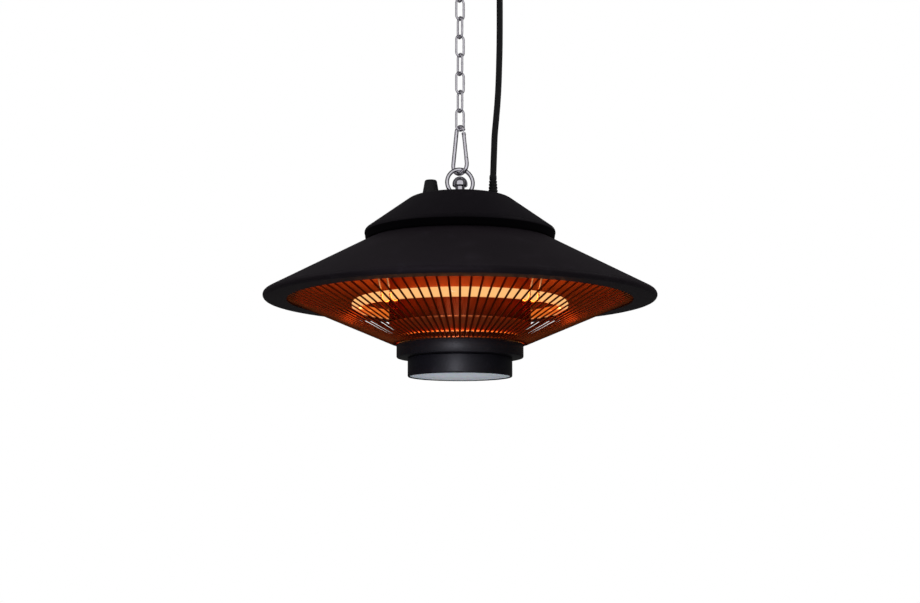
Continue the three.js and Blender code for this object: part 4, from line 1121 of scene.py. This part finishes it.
# Name, place, side, power and colour
SOFT_BOXES = [
    ("left", (-1.6, 0.1, 0.7), 0.8, 13, (1, 0.94, 1)),
    ("right", (1.6, 0.1, 0.7), 0.8, 13, (1, 0.94, 0.98)),
    ("top", (0, 0.3, 1.4), 0.9, 3, (1, 0.93, 0.97)),
]
SNOOT_PLACE = (-0.36, -2.1, -0.55)
SNOOT_AIM = (0, 0, -80)
SNOOT_CONE = 3.6
SNOOT_SOFTNESS = 0.07
SNOOT_POWER = 350
SNOOT_COLOUR = (0.88, 0.88, 1)


def direct_rays(tree):
    """One for rays that look at the room straight, in a mirror or through glass, else nought."""
    path = add_node(tree, "LightPath")
    level = path.outputs["Is Camera Ray"]
    for kind in ("Is Glossy Ray", "Is Transmission Ray"):
        level = add_node(tree, "Math", (), {0: level, 1: path.outputs[kind]}, operation="MAXIMUM").outputs[0]
    return level


def make_floor():
    """A matt floor that looks as white as the room and lights the pieces only as paint would."""
    bm = bmesh.new()
    bmesh.ops.create_grid(bm, x_segments=1, y_segments=1, size=FLOOR_HALF)
    place = TO_ROOM @ Matrix.Translation((0, 0, -FLOOR_DEPTH + RIM_DEPTH))
    bmesh.ops.transform(bm, matrix=place, verts=bm.verts)
    material = bpy.data.materials.new("pale_painted_floor")
    material.use_nodes = True
    tree = material.node_tree
    shader = tree.nodes["Principled BSDF"]
    shader.inputs["Base Color"].default_value = linear("#f2f2f2")
    shader.inputs["Roughness"].default_value = 0.8
    shader.inputs["Specular IOR Level"].default_value = 0.0
    glow = add_node(tree, "Emission", {"Color": WHITE})
    level = add_node(tree, "Math", {1: FLOOR_GLOW}, {0: direct_rays(tree)}, operation="MULTIPLY")
    tree.links.new(level.outputs[0], glow.inputs["Strength"])
    lit_paint = add_node(tree, "AddShader", (), {0: shader.outputs[0], 1: glow.outputs[0]})
    tree.links.new(lit_paint.outputs[0], tree.nodes["Material Output"].inputs["Surface"])
    mesh = as_mesh("floor", bm)
    mesh.materials.append(material)
    floor = placed("floor", mesh)


def make_world():
    """A white room to look at, and a softer sky that lights the pieces mostly from above."""
    world = bpy.data.worlds.new("studio")
    bpy.context.scene.world = world
    world.use_nodes = True
    tree = world.node_tree
    place = add_node(tree, "TexCoord")
    height = add_node(tree, "SeparateXYZ", (), {0: place.outputs["Generated"]})
    level = add_node(
        tree,
        "MapRange",
        {"From Min": SKY_EDGE, "To Min": SKY_BELOW, "To Max": SKY_ABOVE},
        {"Value": height.outputs["Z"]},
    )
    sky = tree.nodes["Background"]
    sky.inputs["Color"].default_value = SKY_TINT
    tree.links.new(level.outputs["Result"], sky.inputs["Strength"])
    white = add_node(tree, "Background", {"Color": WHITE, "Strength": 1.0})
    pick = add_node(tree, "MixShader", (), {0: direct_rays(tree), 1: sky.outputs[0], 2: white.outputs[0]})
    tree.links.new(pick.outputs[0], tree.nodes["World Output"].inputs["Surface"])


def make_screen(name, centre, tip, turn, width, height):
    """A wall of dark cloth that only shiny surfaces see, so that their edges stay dark in a white room."""
    bm = bmesh.new()
    bmesh.ops.create_grid(bm, x_segments=1, y_segments=1, size=0.5)
    place = Matrix.Translation(centre) @ Matrix.Rotation(math.radians(turn), 4, "Z")
    place @= Matrix.Rotation(math.radians(tip), 4, "X") @ Matrix.Diagonal((width, height, 1, 1))
    bmesh.ops.transform(bm, matrix=place, verts=bm.verts)
    mesh = as_mesh(name, bm)
    mesh.materials.append(screen_cloth)
    screen = placed(name, mesh)
    screen.visible_camera = False
    screen.visible_diffuse = False
    screen.visible_shadow = False
    screen.visible_transmission = False


def hang(lamp, place, aim, power, colour):
    """A lamp in the room that is turned to what it lights and isn't seen itself."""
    lamp.energy = power
    lamp.color = colour
    holder = placed(lamp.name, lamp)
    holder.location = place
    holder.rotation_euler = (Vector(aim) - Vector(place)).to_track_quat("-Z", "Y").to_euler()
    holder.visible_camera = False


def make_lights():
    """Soft boxes at the sides and above, and a narrow soft spot on the collar and cup."""
    for name, place, side, power, colour in SOFT_BOXES:
        lamp = bpy.data.lights.new(name, "AREA")
        lamp.shape = "RECTANGLE"
        lamp.size = side
        lamp.size_y = side
        hang(lamp, place, in_room((0, 0, 0)), power, colour)
    spot = bpy.data.lights.new("snoot", "SPOT")
    spot.spot_size = math.radians(SNOOT_CONE)
    spot.spot_blend = 0.5
    spot.shadow_soft_size = SNOOT_SOFTNESS
    hang(spot, SNOOT_PLACE, in_room(SNOOT_AIM), SNOOT_POWER, SNOOT_COLOUR)


# Screens: dark grey cloth, evenly lit
screen_cloth = finish(
    "dark_cloth", "#050505", "#030303", (0.9, 1), 5, 1, 0.1, Specular_IOR_Level=0.0,
    Emission_Color=WHITE, Emission_Strength=SCREEN_GLOW,
)
make_floor()
make_world()
for screen in SCREENS:
    make_screen(*screen)
make_lights()

scene = bpy.context.scene
scene.view_settings.view_transform = "Standard"
